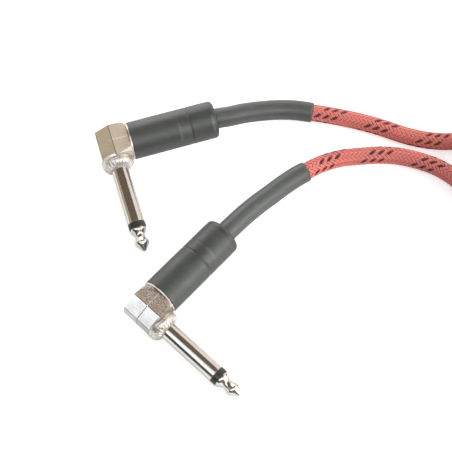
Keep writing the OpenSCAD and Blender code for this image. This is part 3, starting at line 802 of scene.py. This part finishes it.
@made_once("node_groups")
def braid_weave(name):
    """Group: a two-over-two braid on a UV map in turns and metres. Gives its height, where the
    tracer carriers show, and the crown of the yarn on top."""
    tree, n, given, out = node_group(
        name, "ShaderNodeTree",
        [("Turn", "value", 0.0), ("Along", "value", 0.0), ("Lay", "value", 0.0198),
         ("Carriers", "value", 12.0), ("Column", "value", 0.0), ("Start", "value", 0.0)],
        [("Height", "value"), ("Tracer", "value"), ("Crown", "value")])
    turn, carriers = given["Turn"], given["Carriers"]
    wound = given["Along"] / given["Lay"] + given["Start"]
    right, left = (turn - wound) * carriers, (turn + wound) * carriers
    over = n.math("COSINE", (turn - given["Column"]) * (carriers * math.pi))
    right_crown, left_crown = (n.math("SINE", n.math("FRACT", way * 2.0) * math.pi)
                               for way in (right, left))
    right_top, left_top = right_crown * 0.5 + over, left_crown * 0.5 - over
    top = right_top > left_top
    crown = n.math("MULTIPLY_ADD", top, right_crown - left_crown, left_crown)
    higher = n.math("MAXIMUM", right_top, left_top)
    n.put(out["Height"], n.math("MULTIPLY_ADD", higher, 0.15, crown))
    n.put(out["Tracer"], top * holds_tracer(n.math("FLOOR", right) % carriers))
    n.put(out["Crown"], crown)
    return tree


CLOTH_SHEEN = {"Sheen Weight": 0.25, "Sheen Roughness": 0.4}


@made_once("materials")
def braid_cloth(name):
    """Red tweed braid with dark tracers, drawn on the cable's own UV map, with painted highlights
    on the crowns, painted shade in the valleys and painted shade under the real yarns.
    """
    _, _, cable, finish = settings()
    material, n, shader = new_material(name)
    around, along = n.unrolled()
    weave = n.add("ShaderNodeGroup", {
        "Turn": around, "Along": along, "Lay": cable.lay_length, "Carriers": cable.carriers,
        "Column": COLUMN_TURN, "Start": cable.tracer_turn / (2 * math.pi)},
        node_tree=braid_weave("Braid weave")).outputs
    fuzz = n.noise(n.place(), 3200.0, 3.0, 0.6)
    # Painted highlight on the crowns of the yarn, painted shade in the valleys between them and
    # painted shade under the real yarns.
    lit = n.remap(weave["Crown"], 0.6, 1.0) * n.remap(fuzz, 0.3, 0.7, 0.15, 0.65)
    red = n.mix(lit, shade(finish.braid), shade(finish.braid_highlight))
    red = n.mix(n.remap(weave["Crown"], 0.1, 0.6, 1.0, 0.0), red, shade(finish.braid, 0.5))
    red = n.mix(n.attribute("painted_shade_under_yarns"), red, shade(finish.braid, 0.65))
    height = n.math("MULTIPLY_ADD", fuzz, 0.3, weave["Height"])
    dress(n, shader, n.mix(weave["Tracer"], red, shade(finish.tracer)),
          n.remap(fuzz, 0.3, 0.7, 0.62, 0.82), (height, 0.0001, 0.8), CLOTH_SHEEN)
    return material


@made_once("materials")
def yarn_cloth(name):
    """The same braid as yarns: each end is red, or dark where its carrier holds a tracer, with a
    painted highlight on its crown and painted shade on its low sides and where it passes under.
    """
    finish = settings()[3]
    material, n, shader = new_material(name)
    crown = n.attribute("crown")
    fuzz = n.noise(n.place(), 4200.0, 3.0, 0.65)
    # Painted highlight on each crown, painted shade on the low sides and where a yarn passes under,
    # and a paler tracer on its crowns as a painted highlight.
    lit = n.remap(crown, 0.75, 1.0) * n.remap(fuzz, 0.35, 0.7, 0.4, 1.0)
    red = n.mix(lit, shade(finish.braid), shade(finish.braid_highlight))
    low = n.math("MAXIMUM", n.remap(crown, 0.3, 0.8, 1.0, 0.0),
                 n.remap(n.attribute("over"), -0.8, 0.0, 1.0, 0.0))
    red = n.mix(low, red, shade(finish.braid, 0.7))
    dark = n.mix(lit * 0.25, shade(finish.tracer), shade((0.2, 0.1, 0.09)))
    dash = n.attribute("tracer") * n.remap(crown, 0.25, 0.5)
    dress(n, shader, n.mix(dash, red, dark), n.remap(fuzz, 0.3, 0.7, 0.6, 0.8),
          (fuzz, 0.00006, 0.7), CLOTH_SHEEN)
    return material


# ---------------------------------------------------------------- geometry node trees


def geometry_tree(name, inputs):
    """A geometry node tree with one geometry in and out, named values and a material."""
    return node_group(
        name, "GeometryNodeTree",
        [("Geometry", "geometry", None), *inputs, ("Material", "material", None)],
        [("Geometry", "geometry")])


def run_tree(tree, mesh, values):
    """The plain mesh that a geometry node tree makes of a mesh."""
    piece = new_piece(mesh.name, mesh)
    modifier = piece.modifiers.new(tree.name, "NODES")
    modifier.node_group = tree
    for item in tree.interface.items_tree:
        if item.item_type == "SOCKET" and item.in_out == "INPUT" and item.name in values:
            modifier[item.identifier] = values[item.name]
    return plain_mesh(piece)


def store(n, geometry, name, value, kind="FLOAT"):
    """Stores a value by name on each point of a geometry."""
    return n.add("GeometryNodeStoreNamedAttribute",
                 {"Geometry": geometry, "Name": name, "Value": value},
                 data_type=kind, domain="POINT").outputs[0]


def finish_tree(n, geometry, material, out):
    """Ends a tree in smooth shading, Realize Instances and Set Material."""
    smooth = n.add("GeometryNodeSetShadeSmooth", {"Geometry": geometry})
    real = n.add("GeometryNodeRealizeInstances", {"Geometry": smooth.outputs[0]})
    dressed = n.add("GeometryNodeSetMaterial", {"Geometry": real.outputs[0], "Material": material})
    n.put(out[0], dressed.outputs[0])


@made_once("node_groups")
def braid_yarns(name):
    """Tree: winds the yarns of a two-over-two braid round a line of edges, two ends a carrier."""
    tree, n, given, out = geometry_tree(name, [
        ("Carriers", "count", 12), ("Lay Length", "value", 0.0198),
        ("Core Radius", "value", 0.0028), ("Yarn Radius", "value", 0.0003),
        ("Crimp", "value", 0.0002), ("Column", "value", 0.0), ("Start", "value", 0.0),
        ("Already Wound", "value", 0.0)])
    carriers = given["Carriers"]
    line = n.add("GeometryNodeMeshToCurve", {"Mesh": given["Geometry"]})
    upright = n.add("GeometryNodeSetCurveNormal", {"Curve": line.outputs[0]}, mode="Z_UP")
    copies = n.add("GeometryNodeDuplicateElements", {
        "Geometry": upright.outputs[0], "Amount": carriers * 4.0}, domain="SPLINE")
    index = Value(n, copies.outputs["Duplicate Index"])
    family, end = index % 2.0, n.math("FLOOR", index / 2.0) % 2.0
    carrier = n.math("FLOOR", index / 4.0)
    way = 1.0 - family * 2.0
    along = n.value("GeometryNodeSplineParameter", output="Length") + given["Already Wound"]
    wound = (along / given["Lay Length"] + given["Start"]) * way
    turn = (carrier + (end * 0.38 + 0.31)) / carriers + wound
    over = n.math("COSINE", (turn - given["Column"]) * (carriers * math.pi)) * way
    radius = given["Core Radius"] + over * given["Crimp"]
    angle = turn * (2 * math.pi)
    up = n.add("GeometryNodeInputNormal").outputs[0]
    side = n.vector("CROSS_PRODUCT", n.add("GeometryNodeInputTangent").outputs[0], up)
    offset = n.vector("ADD", n.vector("SCALE", side, radius * n.math("COSINE", angle)),
                      n.vector("SCALE", up, radius * n.math("SINE", angle)))
    dark = holds_tracer(carrier) * (1.0 - family)
    where = n.add("GeometryNodeInputPosition").outputs[0]
    kept = store(n, copies.outputs[0], "tracer", dark)
    kept = store(n, kept, "centre", where, "FLOAT_VECTOR")
    kept = store(n, kept, "over", over)
    kept = store(n, kept, "middle", radius)
    moved = n.add("GeometryNodeSetPosition", {"Geometry": kept, "Offset": offset})
    thin = n.add("GeometryNodeSetCurveRadius", {
        "Curve": moved.outputs[0], "Radius": 1.0 - dark * 0.18})
    circle = n.add("GeometryNodeCurvePrimitiveCircle", {
        "Resolution": 8, "Radius": given["Yarn Radius"]})
    tube = n.add("GeometryNodeCurveToMesh", {
        "Curve": thin.outputs[0], "Profile Curve": circle.outputs[0], "Fill Caps": True})
    centre = n.add("GeometryNodeInputNamedAttribute", {"Name": "centre"}, data_type="FLOAT_VECTOR")
    away = n.value("ShaderNodeVectorMath", {0: where, 1: centre.outputs[0]}, "Value",
                   operation="DISTANCE")
    middle = n.value("GeometryNodeInputNamedAttribute", {"Name": "middle"}, data_type="FLOAT")
    crown = (away - middle) / given["Yarn Radius"]
    finish_tree(n, store(n, tube.outputs[0], "crown", crown), given["Material"], out)
    return tree


@made_once("node_groups")
def staking_notches(name):
    """Tree: presses evenly spaced notches into a dome that stands round the Y axis."""
    tree, n, given, out = geometry_tree(name, [
        ("Notches", "count", 18), ("Depth", "value", 0.0003), ("Share", "value", 0.42),
        ("Inner Radius", "value", 0.0031), ("Outer Radius", "value", 0.0058)])
    x, _, z = n.split(n.add("GeometryNodeInputPosition").outputs[0])
    wave = n.math("COSINE", n.math("ARCTAN2", z, x) * given["Notches"])
    pressed = n.remap(wave, 1.0 - given["Share"] * 2.0, 1.0, interpolation_type="SMOOTHSTEP")
    radius, inner = n.math("SQRT", x * x + z * z), given["Inner Radius"]
    middle = (radius - inner) / (given["Outer Radius"] - inner)
    dome = n.math("SINE", n.value("ShaderNodeClamp", {0: middle}) * math.pi)
    offset = n.vector("SCALE", n.add("GeometryNodeInputNormal").outputs[0],
                      pressed * dome * given["Depth"] * -1.0)
    moved = n.add("GeometryNodeSetPosition", {"Geometry": given["Geometry"], "Offset": offset})
    finish_tree(n, moved.outputs[0], given["Material"], out)
    return tree


# ---------------------------------------------------------------- operators


class CABLE_OT_stage(bpy.types.Operator):
    """Make the floor, the soft studio light and the camera"""

    bl_idname = "instrument_cable.stage"
    bl_label = "Floor, light and camera"

    def execute(self, context):
        self.camera(context)
        self.world(context)
        self.floor()
        self.lamps(context)
        self.card("card_over", CARD_OVER, CARD_OVER_TONE)
        for name, *place, tone in CARDS:
            self.card(name, self.upright(*place), tone)
        context.scene.view_settings.view_transform = "Standard"
        return {"FINISHED"}

    def camera(self, context):
        data = bpy.data.cameras.new("camera")
        data.lens, data.sensor_width = CAMERA_LENS, 36.0
        data.clip_start, data.clip_end = 0.01, 20.0
        camera = bpy.data.objects.new("camera", data)
        context.scene.collection.objects.link(camera)
        camera.location = Vector(CAMERA_AT) * MM
        ahead = Vector(CAMERA_TARGET) * MM - camera.location
        camera.rotation_euler = ahead.to_track_quat("-Z", "Y").to_euler()
        context.scene.camera = camera

    def world(self, context):
        world = bpy.data.worlds.new("studio")
        world.use_nodes = True
        context.scene.world = world
        n = Nodes(world.node_tree)
        path = n.add("ShaderNodeLightPath").outputs
        mirrored = n.math("MAXIMUM", path["Is Glossy Ray"], path["Is Transmission Ray"])
        seen = n.math("MAXIMUM", path["Is Camera Ray"], mirrored)
        n.put(world.node_tree.nodes["Background"].inputs["Color"],
              n.mix(seen, shade(WORLD_TONE), shade(WHITE)))

    def floor(self):
        floor = new_piece("floor", flat_mesh("floor", [
            (x * FLOOR_HALF, y * FLOOR_HALF, 0) for x, y in ((-1, -1), (1, -1), (1, 1), (-1, 1))]))
        material, n, shader = new_material("pale floor")
        shader["Base Color"].default_value = shade(settings()[3].floor)
        shader["Roughness"].default_value = 0.7
        path = n.add("ShaderNodeLightPath").outputs
        seen = Value(n, path["Is Camera Ray"]) * FLOOR_SEEN
        mirrored = Value(n, path["Is Glossy Ray"]) * FLOOR_MIRRORED
        shader["Emission Color"].default_value = shade(WHITE)
        n.put(shader["Emission Strength"], seen + mirrored)
        floor.data.materials.append(material)

    def lamps(self, context):
        for name, place, size, power in LAMPS:
            data = bpy.data.lights.new(name, "AREA")
            data.shape, data.size, data.energy = "SQUARE", size, power
            lamp = bpy.data.objects.new(name, data)
            lamp.location = place
            lamp.rotation_euler = (-Vector(place)).to_track_quat("-Z", "Y").to_euler()
            lamp.visible_camera = lamp.visible_glossy = False
            context.scene.collection.objects.link(lamp)

    def upright(self, distance, start, end, low, high):
        """The corners of an upright card between two directions in degrees and two heights."""
        (x0, y0), (x1, y1) = ((distance * math.cos(math.radians(a)),
                               distance * math.sin(math.radians(a))) for a in (start, end))
        return [(x0, y0, low), (x1, y1, low), (x1, y1, high), (x0, y0, high)]

    def card(self, name, corners, tone):
        """A card seen only in the metal, as a studio flags a shiny subject."""
        card = new_piece(name, flat_mesh(name, corners))
        material, _, shader = new_material(name)
        for label, value in (("Base Color", (0.0, 0.0, 0.0, 1.0)), ("Specular IOR Level", 0.0),
                             ("Emission Color", shade(tone)), ("Emission Strength", 1.0)):
            shader[label].default_value = value
        card.data.materials.append(material)
        for ray in ("camera", "diffuse", "transmission", "volume_scatter", "shadow"):
            setattr(card, f"visible_{ray}", False)


class CABLE_OT_cable(bpy.types.Operator):
    """Make the braided cable with its coil, and the yarns of the stretches behind the boots"""

    bl_idname = "instrument_cable.cable"
    bl_label = "Braided cable"

    def execute(self, context):
        cable = settings()[2]
        line = cable_line()
        run = distances(line)
        total, full = run[-1], cable.cable_d / 2
        under = [min(s, total - s) < YARN_REACH for s in run]
        profile = [(i, full - YARN_SINK if thin else full) for i, thin in enumerate(under)]
        mesh = sweep("cable", line, profile, CABLE_SIDES)
        # Painted shade on the cable where the real yarns lie over it.
        marks = mesh.attributes.new("painted_shade_under_yarns", "FLOAT", "POINT")
        marks.data.foreach_set("value", [float(thin) for thin in under for _ in range(CABLE_SIDES)])
        piece = finished("cable", mesh, braid_cloth("tweed braid"), "tweed_braid",
                         "cable_run_a", "cable_coil", "cable_run_b")
        yarns = [self.yarns("braid_a", line, run, 0.0, YARN_REACH),
                 self.yarns("braid_b", line, run, total - YARN_REACH, total)]
        return {"FINISHED"}

    def yarns(self, name, line, run, start, end):
        """Real yarns over one stretch of the cable, between two distances along it."""
        cable = settings()[2]
        kept = [(p, s) for p, s in zip(line, run) if start <= s <= end]
        fine = smooth_line([p for p, _ in kept], YARN_STEP)
        mesh = bpy.data.meshes.new(name + "_line")
        mesh.from_pydata([tuple(p) for p in fine], [(i, i + 1) for i in range(len(fine) - 1)], [])
        cloth = yarn_cloth("tweed yarn")
        wound = run_tree(braid_yarns("Braid yarns"), mesh, {
            "Carriers": cable.carriers,
            "Lay Length": cable.lay_length,
            "Core Radius": cable.cable_d / 2 - cable.yarn_d / 2 - cable.crimp * 0.75,
            "Yarn Radius": cable.yarn_d / 2,
            "Crimp": cable.crimp,
            "Column": COLUMN_TURN,
            "Start": cable.tracer_turn / (2 * math.pi),
            "Already Wound": kept[0][1],
            "Material": cloth,
        })
        return finished(name, wound, cloth, "tweed_braid")


class CABLE_OT_boots(bpy.types.Operator):
    """Make the two shrink boots on the cable"""

    bl_idname = "instrument_cable.boots"
    bl_label = "Boots"

    def execute(self, context):
        bore = boot_bore()
        outside = bore + settings()[2].boot_wall
        # Rings on the face of the mouth, close to its edge, which keep the edge's shading crisp.
        edge_rings = (0.05 * MM, 0.2 * MM)
        for side in "ab":
            line = boot_line(side)
            last = len(line) - 1
            profile = [(i, outside) for i in range(last)]
            profile += [(last, outside - inset) for inset in edge_rings] + [(last, bore)]
            profile += [(i, bore) for i in range(last - 1, -1, -1)]
            mesh = sweep(f"boot_{side}", line, profile, BOOT_SIDES, ring=True)
            finished(f"boot_{side}", mesh, boot_sleeve(), "shrink_black", f"cable_boot_{side}")
        return {"FINISHED"}


class CABLE_OT_covers(bpy.types.Operator):
    """Make the shrink covers over the barrels"""

    bl_idname = "instrument_cable.covers"
    bl_label = "Barrel covers"

    def execute(self, context):
        plug, barrel, cable, _ = settings()
        outer, bore = wrap_radius(), barrel.shell_d / 2 + barrel.slip
        mouth = boot_bore() + cable.boot_wall + barrel.slip
        start, end = plug.head_front + plug.flange_len, wrap_end()
        inner_end = end - barrel.wrap_wall
        shoulder = barrel.shell_round + barrel.wrap_wall
        lip, brow, valley, mouth_lip = 0.18 * MM, 0.5 * MM, 0.25 * MM, 0.2 * MM
        for side in "ab":
            outline = [(start, bore, 0.0), (start, outer, lip)]
            grooves = (barrel.band_at, barrel.band_at + barrel.band_len)
            for groove, depth in zip(grooves, CREASES[side]):
                outline += [(groove - CREASE_HALF, outer, brow),
                            (groove, outer - depth * barrel.groove, valley),
                            (groove + CREASE_HALF, outer, brow)]
            outline += [(end, outer, shoulder), (end, mouth, mouth_lip), (inner_end, mouth, 0.0),
                        (inner_end, bore - barrel.shell_round, 0.0),
                        (inner_end - barrel.shell_round, bore, 0.0)]
            mesh = revolve(f"cover_{side}", arc_corners(outline, 8), LARGE_SIDES, plug_place(side),
                           "barrel", 0.4 * MM)
            self.mark_wear_and_light(mesh, side)
            finished(f"cover_{side}", mesh, shrink_sleeve("barrel sleeve", True), "shrink_black",
                     f"barrel_wrap_{side}")
        return {"FINISHED"}

    def mark_wear_and_light(self, mesh, side):
        """Stores where the cover is rubbed between its creases, with the painted highlight on that
        patch, and the painted highlights and painted shade on its edges and grooves.
        """
        barrel = settings()[1]
        band_end = barrel.band_at + barrel.band_len
        back = plug_place(side).inverted()
        rub_and_highlight = mesh.attributes.new("rub_and_highlight", "FLOAT", "POINT")
        painted_light_and_shade = mesh.attributes.new("painted_light_and_shade", "FLOAT", "POINT")
        for i, vertex in enumerate(mesh.vertices):
            x, y, z = back @ vertex.co
            angle = math.degrees(math.atan2(z, -y))
            inside = min(x - barrel.band_at, band_end - x) / CREASE_HALF
            aside = abs(angle - RUB_ANGLES[side]) / RUB_HALF_ANGLE
            rub_and_highlight.data[i].value = min(1.0, max(0.0, inside)) * max(0.0, 1.0 - aside ** 2)
            tone = 0.0
            for at, half_width, middle, half_angle, strength in LIGHT_AND_SHADE_MARKS[side]:
                off = ((x / MM - at) / half_width) ** 2 + ((angle - middle) / half_angle) ** 4
                tone += strength * max(0.0, 1.0 - off)
            painted_light_and_shade.data[i].value = tone


class CABLE_OT_heads(bpy.types.Operator):
    """Make the faceted elbow heads with their ball-turned corners and fine seam"""

    bl_idname = "instrument_cable.heads"
    bl_label = "Elbow heads"

    def execute(self, context):
        plug = settings()[0]
        for side in "ab":
            block = new_piece("block", self.block(plug, side))
            ball = new_piece("ball", self.ball(plug, BALL_EXTRA[side]))
            cut = block.modifiers.new("ball turning", "BOOLEAN")
            cut.operation, cut.solver, cut.object = "INTERSECT", "EXACT", ball
            edge = block.modifiers.new("edges", "BEVEL")
            edge.width, edge.segments, edge.material = EDGE_W, 2, TURNED
            edge.limit_method, edge.angle_limit = "ANGLE", math.radians(40)
            edge.harden_normals = True
            shaped = plain_mesh(block)
            bpy.data.objects.remove(ball)
            shaped.transform(plug_place(side))
            finished(f"head_{side}", shaped, self.finishes(side), "nickel", f"elbow_head_{side}")
            self.boss(plug, side)
        return {"FINISHED"}

    def finishes(self, side):
        """The finishes by slot. Head A is lapped dull, with its slopes a darker copy of the lapped
        finish as painted shade, and head B has mottled flats. On both, the crease finish paints
        shade along the corners.
        """
        turned = turned_nickel()
        # Painted shade: a dark finish on the narrow faces at the head's corners, which on head B's
        # slopes also darkens the seam.
        crease = plain_finish("nickel crease", (0.2, 0.17, 0.14), 0.4, 1.0)
        if side == "a":
            lapped = nickel_facets("nickel lapped", (0.95, 0.84, 0.70), 0.5, 0.00003, 0.12, 0.92)
            # Painted shade: the slopes of head A get a darker copy of the lapped finish, as they
            # turn from the light.
            slope = nickel_facets("nickel lapped slope", (0.79, 0.68, 0.52), 0.5, 0.00003, 0.12,
                                  0.92)
            seam = plain_finish("nickel seam", (0.8, 0.74, 0.66), 0.4, 1.0)
            return [lapped, turned, slope, crease, seam]
        cast = nickel_facets("nickel cast", (0.71, 0.60, 0.50), 0.44, 0.0003, 0.6)
        milled = nickel_facets("nickel milled", (0.79, 0.79, 0.785), 0.14, 0.00001, 0.05)
        return [cast, turned, milled, crease, turned]

    def block(self, plug, side):
        """The block before its turning: an extruded outline with a fine seam round it."""
        half, back = plug.head_w / 2, plug.head_back_w / 2
        corners = [Vector(c) for c in (
            (plug.head_front, -half), (plug.head_front, half), (0, half),
            (-plug.head_back, back), (-plug.head_back, -back), (0, -half))]
        outline = []
        for i, here in enumerate(corners):
            for other in (corners[i - 1], corners[(i + 1) % len(corners)]):
                outline.append(here + (other - here).normalized() * CREASE_W)
        stations = [(-plug.head_top, 0.0), (SEAM_AT - plug.seam_w / 2, 0.0), (SEAM_AT, SEAM_DEPTH),
                    (SEAM_AT + plug.seam_w / 2, 0.0), (plug.head_bottom, 0.0)]
        work = bmesh.new()
        rings = []
        for station, inset in stations:
            shrink = 1 - inset / half
            rings.append([work.verts.new((x * shrink, -station, z * shrink)) for x, z in outline])
        for i, (low, high) in enumerate(zip(rings, rings[1:])):
            for k in range(len(outline)):
                n = (k + 1) % len(outline)
                face = work.faces.new((low[k], low[n], high[n], high[k]))
                slope = k in SLOPED_SIDES
                face.material_index = CREASE if k % 2 == 0 else SLOPE if slope else FLAT
                if i in SEAM_RINGS:
                    face.material_index = CREASE if slope and side == "b" else SEAM
        work.faces.new(rings[0][::-1])
        work.faces.new(rings[-1])
        if side == "a":
            self.bevel_corner(plug, work)
        bmesh.ops.recalc_face_normals(work, faces=work.faces)
        return self.slotted(work, "block")

    def bevel_corner(self, plug, work):
        """The slanting bevel that the lapping of head A left beside its boss."""
        slant, tilt = math.radians(BEVEL_SLANT), math.radians(BEVEL_TILT)
        outward = Vector((math.sin(slant) * math.sin(tilt), -math.cos(slant) * math.sin(tilt),
                          math.cos(tilt)))
        cut = bmesh.ops.bisect_plane(
            work, geom=work.verts[:] + work.edges[:] + work.faces[:], plane_no=outward,
            plane_co=(BEVEL_ACROSS, BEVEL_ALONG, plug.head_w / 2), clear_outer=True)
        edges = [item for item in cut["geom_cut"] if isinstance(item, bmesh.types.BMEdge)]
        for face in bmesh.ops.contextual_create(work, geom=edges)["faces"]:
            face.material_index = TURNED

    def ball(self, plug, extra):
        """The ball that trims the block."""
        work = bmesh.new()
        centre = Matrix.Translation((plug.head_ball_at, -plug.head_ball_drop, 0))
        bmesh.ops.create_uvsphere(work, u_segments=LARGE_SIDES, v_segments=LARGE_SIDES // 2,
                                  radius=(plug.head_ball_d + extra) / 2, matrix=centre)
        for face in work.faces:
            face.smooth = True
            face.material_index = TURNED
        return self.slotted(work, "ball")

    def slotted(self, work, name):
        """A mesh with an empty slot for each finish of a head."""
        mesh = bpy.data.meshes.new(name)
        work.to_mesh(mesh)
        work.free()
        for _ in range(SEAM + 1):
            mesh.materials.append(None)
        return mesh

    def boss(self, plug, side):
        """The round boss that the sleeve leaves by."""
        radius, bore = plug.boss_d / 2, plug.stem_d / 2
        sunk, rounding = 0.4 * MM, 0.3 * MM
        start, end = plug.head_bottom - sunk, plug.head_bottom + plug.boss_len
        outline = arc_corners([(start, bore, 0.0), (start, radius, 0.0), (end, radius, rounding),
                               (end, bore, 0.0)])
        mesh = revolve(f"boss_{side}", outline, SMALL_SIDES, plug_place(side), "sleeve")
        finished(f"boss_{side}", mesh, satin(side), "nickel", f"elbow_head_{side}")


class CABLE_OT_collars(bpy.types.Operator):
    """Make the staked collars and the flange rings"""

    bl_idname = "instrument_cable.collars"
    bl_label = "Collars and rings"

    def execute(self, context):
        plug, barrel, _, _ = settings()
        for side in "ab":
            self.collar(plug, side, satin(side))
            self.ring(plug, barrel, side)
        return {"FINISHED"}

    def collar(self, plug, side, material, steps=18):
        """A dome round the sleeve's root, with its staking notches."""
        base, height = plug.head_bottom + plug.boss_len, plug.collar_len
        inner, outer = plug.stem_d / 2, plug.boss_d / 2
        outline = [Vector((base, inner)), Vector((base, outer))]
        for k in range(1, steps + 1):
            a = math.radians(90 * k / steps)
            outline.append(Vector((base + height * math.sin(a),
                                   outer - height + height * math.cos(a))))
        outline.append(Vector((base + height, inner)))
        mesh = revolve("collar", outline, COLLAR_SIDES, Matrix.Identity(4), "sleeve")
        shaped = run_tree(staking_notches("Staking notches"), mesh, {
            "Notches": plug.collar_notches, "Depth": NOTCH_DEPTH, "Share": NOTCH_SHARE,
            "Inner Radius": inner, "Outer Radius": outer, "Material": material})
        shaped.transform(plug_place(side))
        finished(f"collar_{side}", shaped, material, "nickel", f"staked_collar_{side}")

    def ring(self, plug, barrel, side):
        """Two fine beads with a groove between them."""
        radius, bore = barrel.shell_d / 2 + plug.flange_lip, barrel.shell_d / 2 - METAL_WALL
        start, width = plug.head_front, plug.flange_len
        slope, groove, bead = 0.1 * MM, 0.12 * MM, 0.08 * MM
        outline = arc_corners([
            (start, bore, 0.0), (start, radius - slope, 0.12 * MM),
            (start + 0.25 * width, radius, bead),
            (start + 0.5 * width, radius - groove, 0.05 * MM),
            (start + 0.75 * width, radius, bead),
            (start + width, radius - slope, 0.1 * MM), (start + width, bore, 0.0)], 4)
        mesh = revolve(f"flange_{side}", outline, LARGE_SIDES, plug_place(side), "barrel")
        finished(f"flange_{side}", mesh, turned_nickel(), "nickel", f"flange_ring_{side}")


class CABLE_OT_contacts(bpy.types.Operator):
    """Make the sleeves, the insulating rings and the turned tips"""

    bl_idname = "instrument_cable.contacts"
    bl_label = "Contacts"

    def execute(self, context):
        plug = settings()[0]
        polished = nickel_plate("nickel polished", 0.13, 0.3)
        for side in "ab":
            place = plug_place(side)
            mesh = revolve(f"sleeve_{side}", self.sleeve(plug), LARGE_SIDES, place, "sleeve")
            finished(f"sleeve_{side}", mesh, polished, "nickel", f"plug_sleeve_{side}")
            mesh = revolve(f"ring_{side}", self.ring(plug), SMALL_SIDES, place, "sleeve")
            finished(f"ring_{side}", mesh, ring_black(), "black_plastic", f"insulating_ring_{side}")
            mesh = revolve(f"tip_{side}", self.tip(plug), SMALL_SIDES, place, "sleeve", solid=True)
            finished(f"tip_{side}", mesh, polished, "nickel", f"tip_contact_{side}")
        return {"FINISHED"}

    def sleeve(self, plug):
        """Outline of the sleeve: its stem inside the collar and the length that enters the jack."""
        radius, stem, end = plug.sleeve_d / 2, plug.stem_d / 2, plug.sleeve_reach
        gap, back_edge, front_edge = 0.05 * MM, 0.12 * MM, 0.06 * MM
        start = plug.head_bottom + plug.boss_len + plug.collar_len + gap
        bore = radius - METAL_WALL
        return arc_corners([
            (plug.stem_at, bore, 0.0), (plug.stem_at, stem, 0.0), (start, stem, 0.0),
            (start, radius, back_edge), (end, radius, front_edge), (end, bore, 0.0)])

    def ring(self, plug):
        """Outline of the insulating ring, which fills the gap down to the rod."""
        radius, rod = plug.sleeve_d / 2, plug.rod_d / 2
        start, end = plug.sleeve_reach, plug.sleeve_reach + plug.ring_len
        back_edge, front_edge = 0.1 * MM, 0.14 * MM
        return arc_corners([(start, rod, 0.0), (start, radius, back_edge),
                            (end, radius, front_edge), (end, rod, 0.0)])

    def tip(self, plug, steps=12):
        """Outline of the tip: peened head, rod, shoulder, waist, rim, band, cone, round end."""
        start = plug.sleeve_reach + plug.ring_len
        shoulder, neck, rim = plug.tip_shoulder_d / 2, plug.tip_neck_d / 2, plug.tip_rim_d / 2
        peen, peen_r, rod = plug.peen_at, plug.peen_d / 2, plug.rod_d / 2
        land, edge, chamfer, rim_drop = 0.4 * MM, 0.06 * MM, 0.3 * MM, 0.05 * MM
        outline = [(peen, 0), (peen, peen_r - chamfer), (peen + chamfer, peen_r),
                   (peen + plug.peen_len, peen_r), (peen + plug.peen_len, rod), (start, rod),
                   (start, shoulder - edge), (start + edge, shoulder)]
        for i in range(steps + 1):
            t = i / steps
            outline.append((start + land + (plug.tip_neck_at - land) * t,
                            neck + (shoulder - neck) * (1 + math.cos(math.pi * t)) / 2))
        for i in range(1, steps + 1):
            t = i / steps
            outline.append((start + plug.tip_neck_at + (plug.tip_rim_at - plug.tip_neck_at) * t,
                            neck + (rim - neck) * (1 - math.cos(math.pi / 2 * t))))
        point = plug.tip_point_d / 2
        centre = start + plug.tip_len - point
        rim_end = start + plug.tip_rim_at + plug.tip_rim_w
        cone = (rim_end + plug.tip_band, rim - rim_drop)
        outline += [(rim_end, rim), cone]
        back = cone[0] - centre
        lean = math.atan2(back, cone[1]) + math.acos(point / math.hypot(back, cone[1]))
        for i in range(steps + 1):
            a = lean + (math.pi / 2 - lean) * i / steps
            outline.append((centre + point * math.sin(a), point * math.cos(a)))
        return [Vector(c) for c in outline]


class CABLE_OT_inner(bpy.types.Operator):
    """Give the pieces inside the plugs their finishes"""

    bl_idname = "instrument_cable.inner"
    bl_label = "Inner pieces"

    def execute(self, context):
        finishes = {
            "nickel": nickel_plate("nickel shell", 0.2, 0.4),
            "black_plastic": ring_black(),
            "white_plastic": plain_finish("white insulation", (0.80, 0.78, 0.72), 0.45),
            "shrink_black": boot_sleeve(),
            "tweed_braid": plain_finish("cut braid", settings()[3].braid, 0.8),
            "terminal_brass": plain_finish("terminal brass", (0.80, 0.62, 0.30), 0.25, 1.0),
            "copper": plain_finish("bare copper", (0.80, 0.45, 0.30), 0.3, 1.0),
            "solder": plain_finish("solder", (0.62, 0.63, 0.64), 0.3, 1.0),
        }
        slots = {part["node"]: part["material_slot"] for part in frame["record"]["subparts"]}
        for name, node in frame["nodes"].items():
            node.data.materials.clear()
            node.data.materials.append(finishes[slots[name]])
        return {"FINISHED"}


class CABLE_PT_panel(bpy.types.Panel):
    """Sizes, colours and steps of the instrument cable"""

    bl_idname = "CABLE_PT_panel"
    bl_label = "Instrument Cable"
    bl_space_type = "VIEW_3D"
    bl_region_type = "UI"
    bl_category = "Instrument Cable"

    def draw(self, context):
        for operator in OPERATORS:
            self.layout.operator(operator.bl_idname)
        for group in settings():
            box = self.layout.box()
            for name in group.bl_rna.properties.keys():
                if name not in ("rna_type", "name"):
                    box.prop(group, name)


OPERATORS = (CABLE_OT_stage, CABLE_OT_cable, CABLE_OT_boots, CABLE_OT_covers, CABLE_OT_heads,
             CABLE_OT_collars, CABLE_OT_contacts, CABLE_OT_inner)
CLASSES = (*SETTINGS.values(), *OPERATORS, CABLE_PT_panel)


def register():
    for cls in CLASSES:
        bpy.utils.register_class(cls)
    for name, group in SETTINGS.items():
        setattr(bpy.types.Scene, name, bpy.props.PointerProperty(type=group))


def unregister():
    for name in SETTINGS:
        delattr(bpy.types.Scene, name)
    for cls in reversed(CLASSES):
        bpy.utils.unregister_class(cls)


def main():
    """Makes every piece in order."""
    register()
    for operator in OPERATORS:
        group, name = operator.bl_idname.split(".")
        getattr(getattr(bpy.ops, group), name)()


if __name__ == "__main__":
    main()
